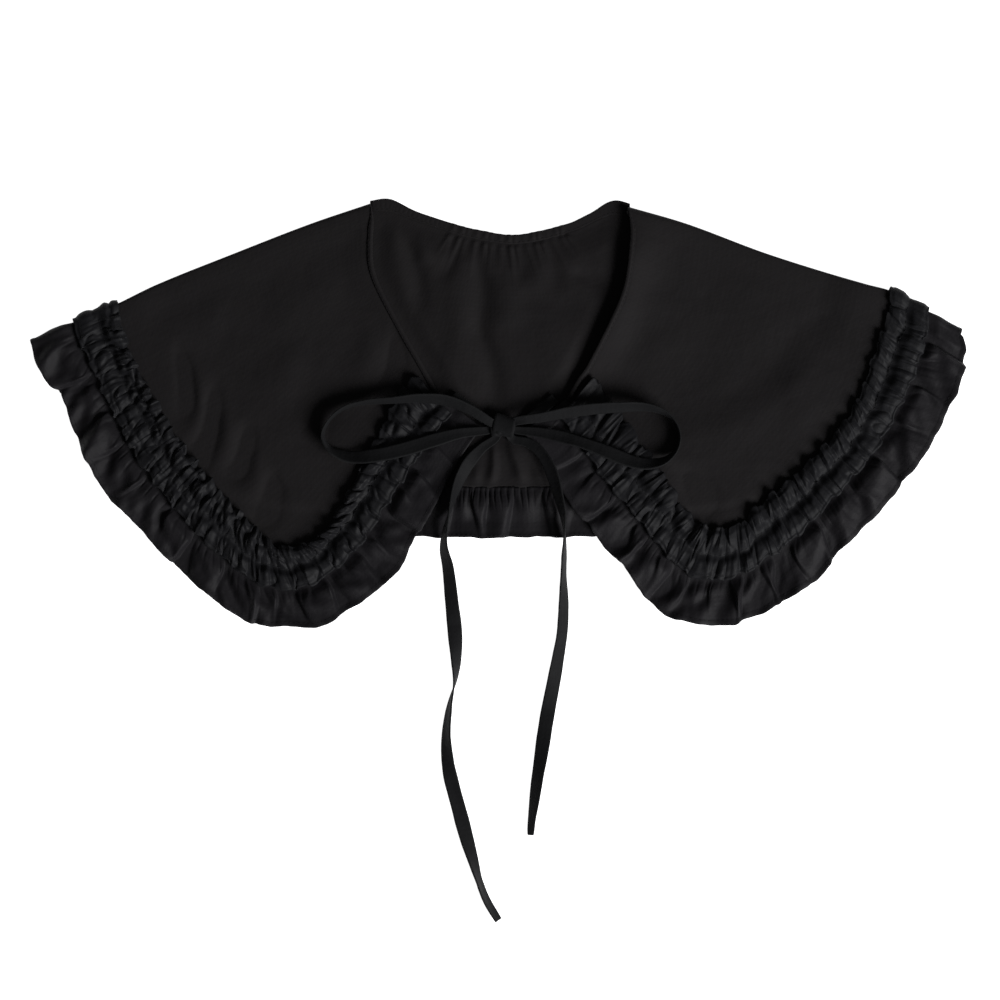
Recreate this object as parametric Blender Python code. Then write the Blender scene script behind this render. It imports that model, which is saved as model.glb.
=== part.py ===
"""A black cotton false collar, laid flat with its front up.

Two pointed fronts are folded over the back at the shoulders. A gathered ruffle runs round the outer edge, a ruched
trim with a stitched centre covers its seam, the back neckline is gathered on elastic, and flat ties make a bow at
the throat. Sizes are in millimetres here and become metres when each mesh is made. X runs across the collar, Y
towards the back of the neck, and Z up from the surface that the collar lies on.
"""

import math

import bmesh
import bpy
import numpy as np

MM = 0.001
CENTRE = (-0.62, -0.70, 0.0)

# Driving dimensions
CLOTH = 1.0
SEAM_GAP = 0.3
LAYER_GAP = 0.6
TRIM_BACK_HEIGHT = 2.0
TRIM_FRONT_HEIGHT = 3.4
TRIM_OUTER_SHARE = 0.36
TRIM_EDGE_HEIGHT = 1.1
TRIM_STITCH_HEIGHT = 1.2
GATHER_PITCH = 7.0
GATHER_SECTIONS = 3
RUFFLE_SECTIONS = 100
BACK_RUFFLE_SECTIONS = 96
HIDDEN_WAVES = 24
HIDDEN_WAVE_HEIGHT = 0.7
CASING_WIDTH = 4.5
CASING_HEIGHT = 0.8
CASING_PUFF = 1.3
NECK_GATHERS = 14
NECK_GATHER_HEIGHT = 1.1
NECK_GATHER_REACH = 32.0
NECK_EDGE_WIDTH = 2.8
NECK_EDGE_HEIGHT = 0.9
TRIM_START = 3.6
STRAP_WIDTH = 7.5
STRAP_THICKNESS = 1.4
STRAP_FLOOR = 0.05
WIDER_EDGE = 10.0
WIDER_FROM = 110.0
WIDER_OVER = 70.0
FOLD_LOFT = 1.2
FOLD_LOFT_REACH = 14.0
FOLD_ANGLES = (math.pi / 2, math.pi / 3, math.pi / 6, 0.0)
FOLD_SHARES = (0.0, 0.035, 0.06, 0.10, 0.16, 0.24, 0.34, 0.44, 0.54, 0.64, 0.73, 0.82, 0.91, 1.0)

# Rests: the height of a piece's underside above the surface, against its distance inside the back's hem
BACK_REST = ((45, 2.3), (62, 0.0))
FRONT_REST = ((-32, 0.0), (-8, 2.8), (8, 3.0), (14, 3.9), (48, 3.9), (72, 1.6))
BACK_RUFFLE_REST = ((0.0, 2.3), (0.42, 2.3), (0.70, 0.0), (1.0, 0.0))

# Ribs across the edge of each piece: trim's inner edge x y, seam x y, ruffle's hem x y
LEFT_RIBS = (
    (-42, 25.5, -32, 9.5, -9.5, -7.5),
    (-50, 17, -38, 2, -16, -16.5),
    (-56, 7.5, -45, -5.5, -22, -25.5),
    (-62.5, -3.5, -51.5, -14, -27.5, -35),
    (-69, -16, -58, -22.5, -33, -45.5),
    (-80, -37.5, -70.5, -40.5, -44, -65),
    (-92.5, -58.5, -83.5, -60, -56.5, -86),
    (-100, -66.5, -91.5, -69.5, -67.5, -97),
    (-108, -71, -100.5, -78, -83, -107.5),
    (-116, -72.5, -111.5, -84, -99.5, -116.5),
    (-124, -71, -121.5, -85, -117, -117),
    (-130.5, -65.5, -133, -80.5, -133.5, -115.5),
    (-137.5, -58.5, -143.5, -72, -150, -106.5),
    (-152.5, -43, -161, -54.5, -177.5, -84),
    (-166.5, -25.5, -176.5, -34.5, -199.5, -60),
    (-179, -7.5, -189, -14.5, -218.5, -39.5),
    (-190.5, 11, -201, 7, -229.5, -16),
    (-201, 31.5, -211, 29, -241.5, 10),
    (-207.5, 51.5, -219, 49, -254, 29),
    (-209, 60.5, -220, 56, -257.5, 39.5),
)
RIGHT_RIBS = (
    (49, 23, 37, 8, 11.5, -9),
    (59, 12, 48, -1, 22.5, -20),
    (67.5, -1, 56, -12.5, 29.5, -33),
    (77.5, -15.5, 64.5, -25, 38.5, -48),
    (93.5, -38.5, 82.5, -45.5, 59, -73),
    (100.5, -49, 90, -56, 69.5, -84.5),
    (108, -58, 99, -66.5, 79, -98),
    (115.5, -62.5, 109, -75, 93.5, -110.5),
    (122.5, -62.5, 119.5, -78, 112, -115.5),
    (130.5, -60.5, 132, -75, 133.5, -114),
    (139, -53, 143, -66.5, 153.5, -105),
    (150, -44, 155, -56.5, 170, -94.5),
    (172.5, -23.5, 178, -34.5, 202, -60),
    (192.5, 1, 198.5, -9, 228.5, -29),
    (204.5, 31, 213, 21, 248, 6),
    (209, 45, 218.5, 36.5, 254, 22),
    (213, 58.5, 223, 50.5, 256.5, 34),
    (214.5, 67.5, 225, 62, 254.5, 45.5),
)
BACK_RIBS = (
    (-209, 60.5, -220, 56, -257.5, 39.5),
    (-197.5, 34, -208, 28.5, -241.5, 11.5),
    (-181, 13, -189, 5, -213, -18.5),
    (-153.5, -7.5, -160, -17.5, -175.5, -45.5),
    (-115, -23, -117.5, -33.5, -126, -61),
    (-65.5, -28.5, -66, -39.5, -67.5, -66),
    (0, -30.5, 0, -41, 0, -67.5),
    (65.5, -28.5, 66, -39.5, 67.5, -66),
    (115, -23, 117.5, -33.5, 126, -61),
    (153.5, -7.5, 160, -17.5, 175.5, -45.5),
    (183, 14.5, 191, 6, 213, -17.5),
    (202, 38, 212, 31.5, 241.5, 14.5),
    (214.5, 67.5, 225, 62, 254.5, 45.5),
)
LEFT_TIP_RIB = 10
RIGHT_TIP_RIB = 8

# Shoulder folds and neckline edges, from the neck outwards or from left to right: x y
LEFT_SHOULDER = ((-70.5, 115.5), (-104.5, 104), (-147, 87.5), (-188, 71), (-209, 60.5), (-220, 56), (-257.5, 39.5))
RIGHT_SHOULDER = ((71, 113.5), (104, 104), (148.5, 87.5), (201.5, 71), (214.5, 67.5), (225, 62), (254.5, 45.5))
SHOULDER_SEAM_POINT = 5
LEFT_NECK = ((-70.5, 115.5), (-69, 106), (-69.5, 93), (-69, 82), (-65.5, 71), (-52.5, 46), (-41, 26), (-32, 9.5))
RIGHT_NECK = ((71, 113.5), (72, 104), (72, 95.5), (69, 72.5), (64, 58), (48, 26), (43, 19), (37, 8))
BACK_NECK = (
    (-70.5, 115.5), (-59, 115), (-43.5, 109.5), (-21.5, 102.5), (-10.5, 100), (5, 97.5),
    (17, 98.5), (39, 104), (50, 109), (60, 113), (71, 113.5),
)

# Folds of each front's ruffle: place along the hem (share), half width, height, where it starts (share of the depth),
# sideways lean at the hem
LEFT_WAVES = (
    (0.035, 9, 3.2, 0.10, 2.0),
    (0.095, 8, 3.8, 0.05, -2.0),
    (0.150, 9, 3.0, 0.30, 1.5),
    (0.215, 10, 3.6, 0.05, 3.0),
    (0.275, 8, 2.6, 0.35, -1.0),
    (0.330, 9, 3.8, 0.10, 2.0),
    (0.395, 10, 3.4, 0.05, -3.0),
    (0.450, 9, 4.0, 0.15, 1.5),
    (0.505, 8, 3.0, 0.10, -2.0),
    (0.565, 10, 3.6, 0.05, 2.5),
    (0.625, 8, 2.8, 0.30, -1.5),
    (0.685, 10, 3.8, 0.05, 3.0),
    (0.745, 9, 3.2, 0.20, -2.0),
    (0.805, 8, 3.6, 0.05, 2.5),
    (0.855, 7, 2.8, 0.25, 1.0),
    (0.905, 8, 3.6, 0.10, -2.0),
    (0.955, 6, 2.2, 0.20, 1.0),
)
RIGHT_WAVES = (
    (0.040, 8, 1.4, 0.10, -2.0),
    (0.105, 9, 2.0, 0.05, 2.0),
    (0.165, 8, 3.6, 0.25, -1.0),
    (0.225, 9, 2.8, 0.05, 2.5),
    (0.290, 10, 3.8, 0.15, -2.5),
    (0.350, 8, 3.2, 0.30, 1.0),
    (0.410, 10, 3.6, 0.05, 2.0),
    (0.475, 9, 4.0, 0.10, -3.0),
    (0.530, 8, 3.0, 0.20, 1.5),
    (0.590, 10, 3.8, 0.05, -2.5),
    (0.655, 9, 3.2, 0.15, 3.0),
    (0.715, 10, 4.2, 0.05, -3.0),
    (0.775, 8, 3.2, 0.30, 2.0),
    (0.830, 9, 3.8, 0.05, -2.0),
    (0.880, 7, 3.0, 0.20, 1.5),
    (0.925, 7, 3.4, 0.10, -1.5),
    (0.962, 5, 2.0, 0.25, 1.0),
)
# Folds of the back's ruffle where it shows below the bow: x at the hem, half width, height
BACK_WAVES = (
    (-22, 6, 2.2),
    (-11, 5, 2.8),
    (-2, 5, 2.4),
    (8, 6, 3.0),
    (18, 5, 2.4),
    (27, 6, 2.6),
)

# Broad soft folds in the panels: start x y, end x y, half width, height
LEFT_FOLDS = (
    (-176, 22, -160, -14, 11, 1.2),
    (-158, 22, -138, -24, 12, 1.0),
    (-134, 0, -118, -34, 10, 0.9),
    (-104, 22, -92, -6, 12, 0.9),
)
RIGHT_FOLDS = (
    (112, -18, 128, -46, 12, 1.0),
    (150, 30, 168, 6, 14, 0.8),
)
BACK_FOLDS = (
    (-24, 92, -27, 22, 8, 1.3),
    (1, 88, -1, 18, 9, 1.5),
    (24, 90, 34, 40, 7, 1.0),
    (-42, 98, -40, 60, 7, 1.0),
    (46, 94, 52, 70, 7, 0.9),
)

# Flat ties: x, y, height of the underside, roll from lying flat in degrees, width
LEFT_ROOT = (
    (-26.0, 10.0, 3.6, 0, 6.0),
    (-18.5, 4.6, 3.2, 8, 6.0),
    (-11.5, -0.6, 2.6, 8, 5.0),
    (-5.2, -5.2, 2.2, 0, 4.5),
)
RIGHT_ROOT = (
    (31.0, 8.8, 4.2, 0, 6.0),
    (24.5, 3.4, 3.6, -8, 6.0),
    (17.5, -1.6, 2.8, -8, 5.0),
    (9.9, -5.6, 2.2, 0, 4.5),
)
LEFT_LOOP = (
    (-5.0, -4.4, 8.2, 4, 4.8),
    (-16.0, 2.2, 8.4, 26, 6.0),
    (-29.2, 7.2, 7.4, 44, 7.5),
    (-43.5, 8.5, 7.2, 56, 7.5),
    (-57.8, 7.4, 6.4, 66, 7.5),
    (-73.2, 6.3, 4.6, 78, 7.5),
    (-84.7, 3.3, 4.6, 82, 7.5),
    (-93.0, -3.3, 4.8, 84, 7.5),
    (-96.8, -12.1, 4.8, 82, 7.5),
    (-93.0, -19.2, 5.4, 70, 7.5),
    (-82.0, -23.7, 6.4, 38, 7.5),
    (-67.1, -22.8, 9.6, 16, 7.5),
    (-51.7, -19.5, 9.8, 14, 7.5),
    (-35.8, -14.6, 8.4, 16, 7.5),
    (-21.5, -10.8, 7.0, 12, 6.0),
    (-5.4, -9.0, 5.6, 2, 4.4),
)
RIGHT_LOOP = (
    (9.6, -4.0, 8.2, -4, 4.8),
    (22.6, -2.2, 8.8, -26, 6.0),
    (36.3, 0.4, 9.8, -36, 7.0),
    (51.2, 2.4, 10.2, -42, 7.5),
    (66.6, 3.4, 9.4, -48, 7.5),
    (80.3, 3.6, 7.0, -62, 7.5),
    (91.0, 0.4, 5.2, -78, 7.5),
    (97.2, -6.1, 4.8, -84, 7.5),
    (99.0, -13.2, 4.9, -84, 7.5),
    (96.8, -20.4, 5.4, -78, 7.5),
    (90.2, -25.9, 8.0, -60, 7.5),
    (80.0, -27.6, 10.2, -40, 7.5),
    (70.0, -25.4, 10.6, -30, 7.5),
    (58.0, -20.6, 10.6, -28, 7.5),
    (46.0, -16.2, 10.0, -26, 7.0),
    (34.7, -12.9, 8.6, -20, 7.0),
    (21.5, -10.2, 7.0, -12, 5.6),
    (9.8, -9.0, 5.6, -2, 4.4),
)
LEFT_TAIL = (
    (-2.4, -13.8, 3.4, 0, 4.6),
    (-9.4, -18.8, 3.3, 4, 5.4),
    (-17.0, -27.6, 4.4, 30, 7.5),
    (-23.0, -39.6, 4.6, 42, 7.5),
    (-27.0, -53.4, 5.6, 54, 7.5),
    (-29.7, -64.9, 4.6, 60, 7.5),
    (-30.3, -73.7, 2.2, 60, 7.5),
    (-28.1, -84.2, 0.3, 52, 7.5),
    (-26.0, -103.4, 0.05, 18, 7.5),
    (-24.3, -120.0, 0.05, -6, 7.5),
    (-23.6, -135.3, 0.05, -52, 7.5),
    (-24.2, -147.0, 0.05, -76, 7.5),
    (-27.2, -160.6, 0.05, -82, 7.5),
    (-29.0, -176.0, 0.05, -64, 7.5),
    (-28.3, -190.3, 0.05, -40, 7.5),
    (-26.4, -201.3, 0.05, -10, 7.5),
    (-22.0, -218.0, 0.05, 8, 7.5),
    (-17.6, -234.3, 0.05, 32, 7.5),
    (-14.3, -245.3, 0.05, 64, 7.5),
    (-11.0, -256.5, 0.05, 80, 7.5),
    (-6.8, -267.5, 0.05, 62, 7.0),
    (-1.1, -277.2, 0.05, 46, 5.0),
)
RIGHT_TAIL = (
    (7.6, -13.8, 3.4, 0, 4.6),
    (16.0, -15.8, 5.0, -8, 5.4),
    (23.0, -21.4, 6.6, -20, 6.6),
    (28.4, -31.0, 7.2, -30, 7.5),
    (32.0, -43.0, 7.2, -44, 7.5),
    (35.0, -55.6, 6.4, -62, 7.5),
    (36.0, -67.1, 4.6, -76, 7.5),
    (35.8, -78.1, 1.6, -82, 7.5),
    (35.5, -90.0, 0.2, -78, 7.5),
    (35.6, -104.0, 0.1, -62, 7.5),
    (34.8, -120.0, 0.1, -50, 7.5),
    (32.7, -133.1, 0.1, -46, 7.5),
    (30.2, -147.0, 0.1, -32, 7.5),
    (26.4, -167.2, 0.1, -24, 7.5),
    (22.8, -190.3, 0.1, -26, 7.5),
    (21.0, -201.3, 0.1, -46, 7.5),
    (19.3, -214.0, 0.1, -60, 7.5),
    (18.0, -224.0, 0.1, -54, 6.0),
    (17.4, -232.0, 0.1, -30, 4.0),
)
STRAP_STEP = 7.0

# Knot of the bow: share of its length, half depth, half height
KNOT_RINGS = ((0.0, 3.0, 2.4), (0.12, 4.7, 3.4), (0.35, 5.6, 4.0), (0.65, 5.6, 4.0), (0.88, 4.7, 3.4), (1.0, 3.0, 2.4))
KNOT_START = (-3.6, -7.4, 6.4)
KNOT_LENGTH = 11.8
KNOT_SIDES = 12

# Lift of each neckline edge above its rest, and how far in from the edge it reaches
LEFT_LIFT = 1.2
RIGHT_LIFT = 2.2
LIFT_REACH = 11.0

# Finishes: base colour and roughness
FINISHES = {
    "panel": ((0.013, 0.012, 0.013), 0.78),
    "ruffle": ((0.016, 0.015, 0.018), 0.74),
    "trim": ((0.014, 0.014, 0.017), 0.72),
    "tie": ((0.016, 0.016, 0.018), 0.80),
}


def clear_scene():
    """Take every object out of the scene."""
    for item in list(bpy.data.objects):
        bpy.data.objects.remove(item, do_unlink=True)


def smoothstep(value):
    """Ease from 0 to 1."""
    share = np.clip(value, 0.0, 1.0)
    return share * share * (3 - 2 * share)


def profile(table, place):
    """Read a height from rows of place and height, eased between the rows."""
    for (start, low), (end, high) in zip(table, table[1:]):
        if place < end:
            return low + (high - low) * float(smoothstep((place - start) / (end - start)))
    return table[-1][1]


def spline(rows, knots, place):
    """Read a smooth curve through rows at a place along their knots."""
    rows = np.asarray(rows, float)
    last = len(rows) - 1
    index = int(np.clip(np.searchsorted(knots, place, side="right") - 1, 0, last - 1))
    span = knots[index + 1] - knots[index]
    share = (place - knots[index]) / span

    def slope(row):
        before, after = max(row - 1, 0), min(row + 1, last)
        return (rows[after] - rows[before]) / (knots[after] - knots[before])

    start, end = rows[index], rows[index + 1]
    lead, tail = slope(index) * span, slope(index + 1) * span
    cube, square = share ** 3, share ** 2
    return (
        start * (2 * cube - 3 * square + 1)
        + lead * (cube - 2 * square + share)
        + end * (3 * square - 2 * cube)
        + tail * (cube - square)
    )


def lengths(points):
    """Distance travelled along points, from the first."""
    points = np.asarray(points, float)
    steps = np.linalg.norm(np.diff(points, axis=0), axis=1)
    return np.concatenate(([0.0], np.cumsum(steps)))


class Curve:
    """A smooth curve through points, read by its share from 0 to 1."""

    def __init__(self, points):
        self.points = np.asarray(points, float)
        self.knots = lengths(self.points)
        self.length = self.knots[-1]

    def at(self, share):
        return spline(self.points, self.knots, share * self.length)

    def line(self, count):
        return np.array([self.at(i / (count - 1)) for i in range(count)])


class Ribs:
    """The edge of a piece, as ribs from the trim's inner edge over the seam to the hem."""

    def __init__(self, rows, hem_weight):
        self.rows = np.asarray(rows, float)
        seam, hem = lengths(self.rows[:, 2:4]), lengths(self.rows[:, 4:6])
        self.knots = seam * (1 - hem_weight) + hem * hem_weight
        self.length = self.knots[-1]

    def point(self, travel, across):
        """A place in plan: across is -1 at the trim's inner edge, 0 at the seam and 1 at the hem."""
        rib = spline(self.rows, self.knots, travel)
        inner, seam, hem = rib[0:2], rib[2:4], rib[4:6]
        end = inner if across < 0 else hem
        return seam + (end - seam) * abs(across)

    def seam(self, travel, shift):
        """The seam, moved towards the trim's inner edge."""
        rib = spline(self.rows, self.knots, travel)
        reach = rib[0:2] - rib[2:4]
        return rib[2:4] + reach * shift / np.linalg.norm(reach)

    def depth(self, travel):
        """Distance from the seam to the hem."""
        rib = spline(self.rows, self.knots, travel)
        return float(np.linalg.norm(rib[4:6] - rib[2:4]))


def nearest(line, place):
    """Distance from a place to a line, and on which side of it the place lies."""
    start, end = line[:-1], line[1:]
    run = end - start
    share = np.clip(((place - start) * run).sum(1) / (run * run).sum(1), 0, 1)
    gap = place - (start + run * share[:, None])
    distance = np.linalg.norm(gap, axis=1)
    index = int(distance.argmin())
    side = run[index, 0] * gap[index, 1] - run[index, 1] * gap[index, 0]
    return float(distance[index]), math.copysign(1.0, side)


class Side:
    """One half of the collar: its shoulder fold, its neckline and how its front rests on the back."""

    def __init__(self, ribs, tip_rib, shoulder, neck, lift, folds, waves):
        self.rows = ribs
        self.trim_ribs = Ribs(ribs, 0.0)
        self.ruffle_ribs = Ribs(ribs, 0.65)
        self.tip_rib = tip_rib
        self.shoulder = Curve(shoulder)
        self.shoulder_seam = Curve(shoulder[: SHOULDER_SEAM_POINT + 1])
        self.neck = Curve(neck)
        self.lift = lift
        self.folds = folds
        self.waves = waves
        self.fold_line = self.shoulder.line(40)
        self.neck_line = self.neck.line(40)
        run = self.fold_line[-1] - self.fold_line[0]
        inward = np.array([run[1], -run[0]]) / np.linalg.norm(run)
        self.inward = inward if inward[1] < 0 else -inward


LEFT = Side(LEFT_RIBS, LEFT_TIP_RIB, LEFT_SHOULDER, LEFT_NECK, LEFT_LIFT, LEFT_FOLDS, LEFT_WAVES)
RIGHT = Side(RIGHT_RIBS, RIGHT_TIP_RIB, RIGHT_SHOULDER, RIGHT_NECK, RIGHT_LIFT, RIGHT_FOLDS, RIGHT_WAVES)
BACK = Ribs(BACK_RIBS, 0.65)
BACK_HEM = np.array([BACK.point(BACK.length * i / 80, 1.0) for i in range(81)])
BACK_NECKLINE = Curve(BACK_NECK)


def hem_distance(place):
    """Distance inside the back's hem, negative outside it, evened out where the edge is wider at the shoulders."""
    distance, side = nearest(BACK_HEM, place)
    extra = WIDER_EDGE * float(smoothstep((abs(place[0]) - WIDER_FROM) / WIDER_OVER))
    return distance * side - extra * float(np.clip((distance * side - 17.0) / 25.0, 0.0, 1.0))


def front_middle(side, place):
    """Height of the middle of a front's cloth."""
    distance, _ = nearest(side.fold_line, place)
    loft = FOLD_LOFT * math.exp(-((distance / FOLD_LOFT_REACH) ** 2))
    edge, _ = nearest(side.neck_line, place)
    calm = float(smoothstep(distance / 30.0))
    lift = side.lift * calm * math.exp(-((edge / LIFT_REACH) ** 2))
    return profile(FRONT_REST, hem_distance(place)) + CLOTH / 2 + loft + lift


def back_middle(place):
    """Height of the middle of the back panel's cloth."""
    return profile(BACK_REST, hem_distance(place)) + CLOTH / 2


def back_ruffle_middle(across):
    """Height of the middle of the back ruffle's cloth."""
    return profile(BACK_RUFFLE_REST, across) + CLOTH / 2


def around_fold(side, place, front, back, angle, height, way):
    """A point on the quarter turn from a layer to the shoulder fold. Height is measured out from the cloth's middle."""
    radius = (front - back) / 2 - SEAM_GAP / 2
    centre = (front + back) / 2 + way * SEAM_GAP / 2
    plan = place + side.inward * (radius - (radius + height) * math.cos(angle))
    return np.array([plan[0], plan[1], centre + way * (radius + height) * math.sin(angle)])


def bump(offset):
    """A round ridge that is 1 high at 0 and ends at -1 and 1."""
    return 0.5 * (1 + math.cos(math.pi * offset)) if abs(offset) < 1 else 0.0


def fold_relief(folds, place):
    """Height that broad soft folds add at a place."""
    total = 0.0
    for x1, y1, x2, y2, half, height in folds:
        start, run = np.array([x1, y1]), np.array([x2 - x1, y2 - y1])
        share = float(np.dot(place - start, run) / np.dot(run, run))
        off = float(np.linalg.norm(place - start - run * share))
        total += height * bump(off / half) * bump(abs(share - 0.5) * 1.25)
    return total


def zip_strip(first, second, first_shares, second_shares):
    """Triangles that join two rows of points of different counts."""
    faces = []
    i = j = 0
    while i < len(first) - 1 or j < len(second) - 1:
        step_first = j == len(second) - 1
        if not step_first and i < len(first) - 1:
            step_first = first_shares[i + 1] <= second_shares[j + 1]
        if step_first:
            faces.append((first[i], first[i + 1], second[j]))
            i += 1
        else:
            faces.append((first[i], second[j + 1], second[j]))
            j += 1
    return faces


def material(finish):
    """The finish of one piece."""
    colour, roughness = FINISHES[finish]
    made = bpy.data.materials.new(finish)
    made.use_nodes = True
    shader = made.node_tree.nodes["Principled BSDF"]
    shader.inputs["Base Color"].default_value = (*colour, 1.0)
    shader.inputs["Roughness"].default_value = roughness
    shader.inputs["Metallic"].default_value = 0.0
    return made


def make_object(name, points, faces, finish):
    """Add one closed solid from points in millimetres."""
    mesh = bpy.data.meshes.new(name)
    work = bmesh.new()
    corners = [work.verts.new([float(v - c) * MM for v, c in zip(point, CENTRE)]) for point in points]
    for face in faces:
        work.faces.new([corners[i] for i in face])
    bmesh.ops.recalc_face_normals(work, faces=work.faces)
    work.to_mesh(mesh)
    work.free()
    mesh.shade_smooth()
    mesh.materials.append(material(finish))
    made = bpy.data.objects.new(name, mesh)
    bpy.context.scene.collection.objects.link(made)
    return made


def shell(name, tops, bottoms, finish):
    """A closed solid between rows of top points and as many rows of bottom points."""
    rows, wide, narrow = len(tops), len(tops[0]), len(bottoms[0])
    points = [p for row in tops for p in row] + [p for row in bottoms for p in row]
    base = rows * wide

    def top(row, column):
        return row * wide + column

    def bottom(row, column):
        return base + row * narrow + column

    faces = []
    for r in range(rows - 1):
        for c in range(wide - 1):
            faces.append((top(r, c), top(r, c + 1), top(r + 1, c + 1), top(r + 1, c)))
        for c in range(narrow - 1):
            faces.append((bottom(r, c), bottom(r + 1, c), bottom(r + 1, c + 1), bottom(r, c + 1)))
        faces.append((top(r, 0), top(r + 1, 0), bottom(r + 1, 0), bottom(r, 0)))
        last, end = wide - 1, narrow - 1
        faces.append((top(r, last), bottom(r, end), bottom(r + 1, end), top(r + 1, last)))
    for r in (0, rows - 1):
        upper, lower = [top(r, c) for c in range(wide)], [bottom(r, c) for c in range(narrow)]
        upper_shares = lengths([points[i] for i in upper])
        lower_shares = lengths([points[i] for i in lower])
        faces += zip_strip(upper, lower, upper_shares / upper_shares[-1], lower_shares / lower_shares[-1])
    return make_object(name, points, faces, finish)


def strip_sections(side, ribs, travels, shares, height_at, below):
    """Rows of points along a front's trim or ruffle, the last ones turned down round the shoulder fold.

    shares are places across the strip, height_at gives the height above the cloth's middle for a travel and a share,
    and below is the back layer's middle at the fold for a share.
    """
    rows = []
    for travel in travels:
        row = []
        for share in shares:
            height, slide, place_share = height_at(travel, share)
            place = ribs.point(min(max(travel + slide, 0.0), ribs.length), place_share)
            row.append(np.array([*place, front_middle(side, place) + height]))
        rows.append(row)
    for angle in FOLD_ANGLES:
        row = []
        for share in shares:
            height, _, place_share = height_at(ribs.length, share)
            place = ribs.point(ribs.length, place_share)
            front, back = front_middle(side, place), below(place, place_share)
            row.append(around_fold(side, place, front, back, angle, height, 1))
        rows.append(row)
    return rows


def gather_places(start, length, pitch, end_gap):
    """Uneven places of gathers along a strip: middle, half width and fullness."""
    places = []
    place = start
    index = 0
    while place < length - end_gap:
        width = pitch * (1 + 0.22 * math.sin(2.4 * index) + 0.12 * math.sin(5.1 * index + 1))
        fullness = 0.80 + 0.20 * math.sin(1.7 * index + 0.4)
        places.append((place + width / 2, width / 2, fullness))
        place += width
        index += 1
    return places


def front_trim(side, name):
    """The ruched trim of one front: two rows of puffs beside a stitched centre."""
    ribs = side.trim_ribs
    end = ribs.length - 2.6
    gathers = [g for g in gather_places(TRIM_START, ribs.length, GATHER_PITCH, 5.0) if g[0] + g[1] < end]
    travels = []
    for middle, half, _ in gathers:
        travels += [middle - half, middle - half * 0.34, middle + half * 0.34]
    travels.append(end)

    def fullness(travel):
        for middle, half, full in gathers:
            if abs(travel - middle) <= half + 1e-6:
                return full * bump((travel - middle) / half / 1.15)
        return 0.85

    def rise(travel, share):
        full = fullness(travel)
        reach = abs(share)
        round_row = math.sin(math.pi * min(reach * 1.06, 1.0)) ** 0.6 if reach < 0.94 else 0.0
        puff = (TRIM_FRONT_HEIGHT - TRIM_STITCH_HEIGHT) * (0.30 + 0.70 * full) * round_row
        edge = 0.6 * full if reach > 0.99 else 0.0
        low = TRIM_STITCH_HEIGHT if reach < 0.5 else TRIM_EDGE_HEIGHT
        across = share * TRIM_OUTER_SHARE if share > 0 else share
        across *= 1 + (0.05 * (full - 0.5) if reach > 0.99 else 0.0)
        return CLOTH / 2 + LAYER_GAP + low + puff + edge, 0.0, across

    def rest(travel, share):
        return CLOTH / 2 + LAYER_GAP, 0.0, share * TRIM_OUTER_SHARE if share > 0 else share

    def below(place, across):
        return back_middle(place) if across < 0 else back_ruffle_middle(across)

    top_shares = (-1.0, -0.72, -0.40, 0.0, 0.40, 0.72, 1.0)
    tops = strip_sections(side, ribs, travels, top_shares, rise, below)
    bottoms = strip_sections(side, ribs, travels, (-1.0, 0.0, 1.0), rest, below)
    shell(name, tops, bottoms, "trim")


def front_ruffle(side, name):
    """The gathered ruffle of one front, from its seam to its hem."""
    ribs = side.ruffle_ribs
    end = ribs.length - 3.2
    travels = np.linspace(0.0, end, RUFFLE_SECTIONS)
    start_share = SEAM_GAP / 2 / 30.0

    def rise(travel, share):
        height = slide = 0.0
        for place, half, tall, start, lean in side.waves:
            grow = 0.12 + 0.88 * float(smoothstep((share - start) / (1 - start)))
            middle = place * ribs.length
            ridge = bump((travel - middle) / half)
            height += tall * ridge * grow
            slide += lean * ridge * share
        covered = float(smoothstep((share - TRIM_OUTER_SHARE) / 0.15))
        ruffle_share = start_share + share * (1 - start_share)
        return CLOTH / 2 + height * covered, slide * covered, ruffle_share

    def rest(travel, share):
        return -CLOTH / 2, rise(travel, share)[1], start_share + share * (1 - start_share)

    def below(place, across):
        return back_ruffle_middle(across)

    tops = strip_sections(side, ribs, travels, (0.0, 0.36, 0.55, 0.78, 1.0), rise, below)
    bottoms = strip_sections(side, ribs, travels, (0.0, 0.36, 0.68, 1.0), rest, below)
    shell(name, tops, bottoms, "ruffle")


def coons(low, high, near, far, across, along):
    """A place inside four edges: low and high run across, near and far run along."""
    a, b, c, d = low.at(0), low.at(1), high.at(0), high.at(1)
    ruled = (1 - along) * low.at(across) + along * high.at(across)
    other = (1 - across) * near.at(along) + across * far.at(along)
    corners = (1 - across) * (1 - along) * a + across * (1 - along) * b
    corners = corners + (1 - across) * along * c + across * along * d
    return ruled + other - corners


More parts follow.
